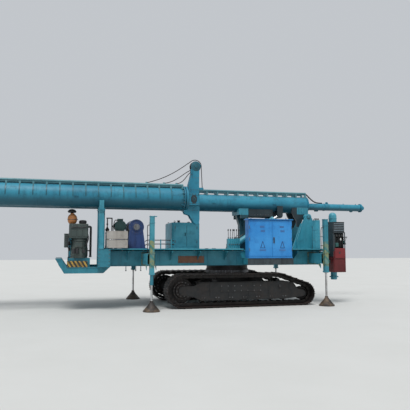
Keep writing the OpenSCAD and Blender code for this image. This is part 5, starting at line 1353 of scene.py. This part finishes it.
g = Geo()
PU, PV = 5885.0, -905.0
g.lathe((PU, PV, 0), (0, 0, 1), [(690, 0), (690, 88), (696, 95), (760, 95), (762, 138), (785, 138), (787, 96), (926, 96), (930, 120), (1500, 120), (1504, 130), (1528, 130), (1532, 120), (2230, 120),
                                 (2234, 132), (2256, 132), (2260, 120), (2560, 120), (2564, 128), (2582, 128), (2588, 121), (2640, 121), (2676, 114), (2712, 98), (2738, 74), (2756, 42), (2762, 0)], 44, 0)
g.bolts_circle((PU, PV, 785), (0, 0, 1), 118, 8, 9, 10, 1)
g.bolts_circle((PU, PV, 2256), (0, 0, 1), 126, 10, 6, 7, 1)
g.lathe((PU, PV, 2756), (0, 0, 1), [(0, 0), (0, 12), (5, 11), (5, 0)], 12, 1)
for z in (1250, 1450):
    g.box(5410, PU - 80, -922, -868, z, z + 100, 6, 0)
g.cyl((PU, PV - 118, 2380), (PU, PV - 160, 2380), 26, 20, 4, 0)
g.bolts_circle((PU, PV - 160, 2380), (0, -1, 0), 17, 4, 4, 4, 1)
g.tube(smooth([(PU - 118, PV, 2460), (PU - 180, PV, 2440), (PU - 250, PV + 20, 2300), (PU - 300, PV + 30, 2100), (PU - 330, PV + 40, 1900)], 6), 16, 10, 2)
g.make("pump_column_flanged", "platform", [TEAL, BOLT, RUBBER], ("pump_column",), "teal_paint")

# ------------------------------------------------------------------ mast
TZ0, RL, RU, UV, FU = 3045.0, 265.0, 305.0, -1000.0, -8500.0
AX = (1, 0, 0)


def strap(g, u, v, R, w, a0, a1, t=7, n=20, m=0):
    """Bent strap on a tube, between two angles from straight up."""
    pts_in, pts_out = [], []
    for i in range(n + 1):
        a = math.radians(a0 + (a1 - a0) * i / n)
        c, s = math.sin(a), math.cos(a)
        pts_in.append((v + (R - 2) * c, TZ0 + (R - 2) * s))
        pts_out.append((v + (R + t) * c, TZ0 + (R + t) * s))
    verts, faces = [], []
    for uu in (u - w / 2, u + w / 2):
        for p in pts_in + pts_out:
            verts.append((uu, p[0], p[1]))
    k = n + 1
    N = 2 * k
    for i in range(n):
        faces.append([k + i, k + i + 1, N + k + i + 1, N + k + i])
        faces.append([i, i + 1, N + i + 1, N + i])
        faces.append([i, i + 1, k + i + 1, k + i])
        faces.append([N + i, N + i + 1, N + k + i + 1, N + k + i])
    for i in (0, n):
        faces.append([i, k + i, N + k + i, N + i])
    g.add(verts, faces, m)


g = Geo()
for u in (-6480, -4420, -2360, -300, 1760, 3820):
    g.bead((u, 0, TZ0), AX, RL + 0.5, 4)
for u in (FU + 36, 5384, 5360):
    g.bead((u, 0, TZ0), AX, RL + 1, 6)
g.bolts_circle((FU + 35, 0, TZ0), AX, 325, 20, 13, 14, 1)
g.bolts_circle((5410, 0, TZ0), AX, 278, 20, 9, 9, 1)
# end plate with ribs, and a manhole cover
g.lathe((5400, 0, TZ0), AX, [(0, 0), (0, 180), (8, 180), (10, 174), (10, 0)], 40, 0)
g.bolts_circle((5410, 0, TZ0), AX, 160, 12, 9, 8, 1)
for k in range(8):
    t = 2 * math.pi * k / 8
    g.box(5396, 5409, 184, 250, TZ0 - 6, TZ0 + 6, 2, 0, (5400, 0, TZ0), Matrix.Rotation(t, 3, "X"))
for i in range(41):
    u = 2356 - 32 * 332.5 + i * 332.5
    strap(g, u, 0, RL, 50, -34, 34, 7, 8)
# lugs and brackets on the near side
for u in (-7200, -3200, 2200, 4200):
    g.prism("v", [(u - 60, TZ0 - 20), (u + 60, TZ0 - 20), (u + 36, TZ0 + 50), (u - 36, TZ0 + 50)], -RL - 26, -RL - 6, 3)
g.make("mast_lower_trim", "mast_lower", [TEAL_MAST, BOLT, BLACK], (), "teal_paint")

g = Geo()
for u in (-6900, -4900, -2900, -900, 700):
    g.bead((u, UV, TZ0), AX, RU + 0.5, 4)
g.bead((FU + 36, UV, TZ0), AX, RU + 2, 6)
for i in range(29):
    u = 1006 - 28 * 332.5 + i * 332.5
    strap(g, u, UV, RU, 30, -96, 96, 6, 26, 2)
g.bolts_circle((FU + 35, UV, TZ0), AX, 344, 20, 13, 14, 1)
for k in range(24):
    t = 2 * math.pi * (k + 0.5) / 24
    c, s = math.cos(t), math.sin(t)
    p = (1036, UV + 334 * c, TZ0 + 334 * s)
    g.bolt(p, (-1, 0, 0), 13, 14, 1)
    g.bolt((1148, UV + 334 * c, TZ0 + 334 * s), (1, 0, 0), 13, 14, 1)
for k in range(12):
    t = 2 * math.pi * (k + 0.25) / 12
    g.prism("v", [(940, 0), (1036, 0), (1036, 48)], -5, 5, 2) if False else None
    R = Matrix.Rotation(t, 3, "X")
    gg = Geo()
    gg.prism("v", [(930, RU - 3), (1036, RU - 3), (1036, RU + 50)], -5, 5, 2)
    n0 = len(g.v)
    g.v += [Vector((p.x, UV, TZ0)) + R @ Vector((0, p.y, p.z)) for p in gg.v]
    g.f += [tuple(n0 + i for i in f) for f in gg.f]
    g.m += gg.m
# dark closing plates below the guide rails, painted shade for the shadowed gap between rail and tube, and a seam along
# the tube
for v in (UV - 104, UV + 104):
    g.box(FU + 64, 1030, v - 5, v + 5, 3296, 3374, 2, 2)
for u in (-7600, -5200, -1900):
    g.prism("v", [(u - 60, TZ0 - 30), (u + 60, TZ0 - 30), (u + 36, TZ0 + 40), (u - 36, TZ0 + 40)], UV - RU - 24, UV - RU + 4, 3)
g.make("mast_upper_trim", "mast_upper", [TEAL_MAST, BOLT, SHADE], (), "teal_paint")

# heel: pins, ribs and bolts, in the heel's near-black painted shade
g = Geo()
for s in (-1, 1):
    for k in (-1, 1):
        g.lathe((mu, s * 200 + k * 91, mz), (0, k, 0), [(0, 0), (0, 62), (8, 62), (8, 40), (18, 38), (18, 0)], 24)
        g.bolts_circle((mu, s * 200 + k * 99, mz), (0, k, 0), 51, 4, 6, 6, 1)
    g.bolts_line((3380, s * 201, 2700), (4120, s * 201, 2700), 9, (0, s, 0), 10, 9, 1)
    g.bolts_line((5010, s * 246, 2930), (5360, s * 246, 2930), 5, (0, s, 0), 10, 9, 1)
for u in (3360, 3620, 3880, 4130):
    g.box(u - 6, u + 6, -206, 206, 2646, 2900, 3)
g.box(3330, 4160, -212, 212, 2640, 2656, 4)
for s in (-1, 1):
    lo, hi = sorted((s * 244, s * 254))
    g.prism("v", [(4990, 2728), (5384, 2728), (5384, 2950), (4990, 2950)], lo, hi, 3, 2)
    for u in (5060, 5150, 5240, 5330):
        g.box(u - 5, u + 5, min(s * 252, s * 264), max(s * 252, s * 264), 2740, 2930, 2, 2)
g.make("mast_heel_pins", "mast_lower", [HEEL_PAINTED_SHADE, BOLT, TEAL], (), "deck_paint")

# strut: flange, lugs and clamps
g = Geo()
SVV = 420.0
SR = 115.0
for u in (-5200, -2300, 600, 3500, 4860):
    g.ring((u - 6, SVV, TZ0), (u + 96, SVV, TZ0), SR + 12, SR, 32, 3)
    g.box(u - 6, u + 96, SVV - 20, SVV + 20, TZ0 + SR + 4, TZ0 + SR + 70, 4)
    for z in (TZ0 + SR + 40,):
        g.cyl((u + 45, SVV - 40, z), (u + 45, SVV + 40, z), 12, 6, 2, 1)
for u in (6290, 6330):
    g.ring((u, SVV, TZ0), (u + 14, SVV, TZ0), SR + 10, SR, 32, 3)
g.prism("v", [(6366, TZ0 + 108), (6506, TZ0 + 108), (6466, TZ0 + 176), (6406, TZ0 + 176)], SVV - 16, SVV + 16, 3)
g.lathe((6436, SVV - 20, TZ0 + 148), (0, 1, 0), [(0, 0), (0, 18), (40, 18), (40, 0)], 16, 1)
for u in (7080, 7560):
    g.cyl((u, SVV, TZ0 + 108), (u, SVV, TZ0 + 140), 14, 14, 3)
for a, b, h in ((5955, 6115, 152), (7310, 7440, 146)):
    g.prism("v", [(a, TZ0 - 106), (b, TZ0 - 106), (b - 30, TZ0 - h), (a + 30, TZ0 - h)], SVV - 30, SVV + 30, 4, 2)
    g.bolts_line((a + 44, SVV, TZ0 - h), (b - 44, SVV, TZ0 - h), 2, (0, 0, -1), 8, 7, 1)
g.bolts_circle((7750, SVV, TZ0), AX, 128, 10, 8, 9, 1)
g.bolts_circle((7700, SVV, TZ0), (-1, 0, 0), 130, 10, 8, 9, 1)
g.bead((7696, SVV, TZ0), AX, SR + 1, 4, 36)
for u in (-4200, -1200, 1800, 4200, 6700):
    g.bead((u, SVV, TZ0), AX, SR + 0.5, 3, 36)
g.make("strut_trim", "mast_lower", [TEAL_MAST, BOLT, SHADE], (), "teal_paint")

# crown: hub, rims and bolts
g = Geo()
for v, s in ((-1150, -1), (-950, 1)):
    g.lathe((CU, v, CZ), (0, s, 0), [(-2, 0), (-2, 139), (3, 139), (5, 136), (5, 0)], 48, 4)
    g.lathe((CU, v, CZ), (0, s, 0), [(0, 0), (0, 74), (6, 78), (10, 74), (10, 52), (22, 48), (24, 40), (24, 0)], 32, 4)
    g.bolts_circle((CU, v + s * 8, CZ), (0, s, 0), 63, 8, 6, 6, 1)
    g.bolts_line((1310, v, 3650), (1470, v, 3650), 3, (0, s, 0), 8, 7, 1)
    g.bolts_line((1260, v, 3300), (1460, v, 3300), 4, (0, s, 0), 8, 7, 1)
    # rim of the lower bracket
    g.bolts_line((1225, v, 2720), (1440, v, 2720), 4, (0, s, 0), 9, 8, 1)
# recessed hub in the side of the base box, with its ring of bolts; its face and ring are dark as painted shade in the
# recess
g.prism("v", [(1310 + 92 * math.cos(math.radians(22.5 + 45 * k)), 3020 + 128 * math.sin(math.radians(22.5 + 45 * k))) for k in range(8)], -1292, -1278, 4, 3)
g.ring((1310, -1306, 3020), (1310, -1297, 3020), 76, 38, 32, 3, 3)
g.ring((1310, -1312, 3020), (1310, -1288, 3020), 40, 24, 28, 3, 4)
g.bolts_circle((1310, -1292, 3020), (0, -1, 0), 68, 8, 8, 7, 3)
g.lathe((1310, -1300, 3020), (0, 1, 0), [(0, 0), (0, 24), (6, 24), (6, 0)], 24, 2)
g.bolts_line((1196, -1281, 3160), (1440, -1281, 3160), 4, (0, -1, 0), 9, 8, 1)
g.bolts_line((1196, -1281, 2890), (1440, -1281, 2890), 4, (0, -1, 0), 9, 8, 1)
for z in (2900, 3140):
    g.box(1180, 1466, -1288, -1280, z - 5, z + 5, 2, 0)
g.lathe((1625, -1100, 3340), (1, 0, 0), [(-4, 0), (-4, 24), (8, 22), (8, 0)], 18, 1)
g.make("crown_trim", "mast_upper", [TEAL_MAST, BOLT, BLACK, HEEL_PAINTED_SHADE, SHADE], (), "teal_paint")

g = Geo()
g.cyl((CU, -1171, CZ), (CU, -949, CZ), 34.5, 24, 4, 1)
g.cyl((CU, -1124, CZ), (CU, -976, CZ), 58, 28, 4, 0)
for v in (-1124, -1026):
    c = v + 25
    g.lathe((CU, c, CZ), (0, 1, 0), [(-24, 120), (-24, 146), (-20, 149.5), (-16, 149), (-11, 139), (0, 135), (11, 139), (16, 149), (20, 149.5), (24, 146), (24, 120), (10, 112), (-10, 112)], 56, 0, True)
    for d in (-1, 1):
        g.lathe((CU, c, CZ), (0, d, 0), [(0, 58), (18, 62), (18, 70), (8, 76), (6, 112), (0, 116)], 40, 0)
        for k in range(6):
            t = 2 * math.pi * k / 6
            g.box(CU + 64, CU + 116, c + d * 8 - 5, c + d * 8 + 5, CZ - 6, CZ + 6, 2, 0, (CU, c, CZ), Matrix.Rotation(t, 3, "Y"))
g.make("crown_sheaves_grooved", "crown_sheaves", [BLACK, STEEL], ("crown_sheaves",), "track_steel")

# ------------------------------------------------------------------ floor and light
me = bpy.data.meshes.new("studio_floor")
me.from_pydata([(-70, -70, 0), (70, -70, 0), (70, 70, 0), (-70, 70, 0)], [], [(0, 1, 2, 3)])
floor = bpy.data.objects.new("studio_floor", me)
scene.collection.objects.link(floor)
fm = Mat("studio_floor_pale")
me.materials.append(fm.finish(fm.mix(fm.noise(0.6, 5), lin((196, 196, 192)), lin((206, 206, 203))), 0.85))

world = bpy.data.worlds.new("world")
scene.world = world
world.use_nodes = True
bg = world.node_tree.nodes["Background"]
bg.inputs[0].default_value = (0.86, 0.90, 0.95, 1)
bg.inputs[1].default_value = 0.63
sun = bpy.data.lights.new("sun", "SUN")
sun.energy = 2.3
sun.angle = 0.45
so = bpy.data.objects.new("sun", sun)
so.rotation_euler = Vector((0.24, 0.46, -0.95)).to_track_quat("-Z", "Y").to_euler()
scene.collection.objects.link(so)
scene.view_settings.view_transform = "Standard"
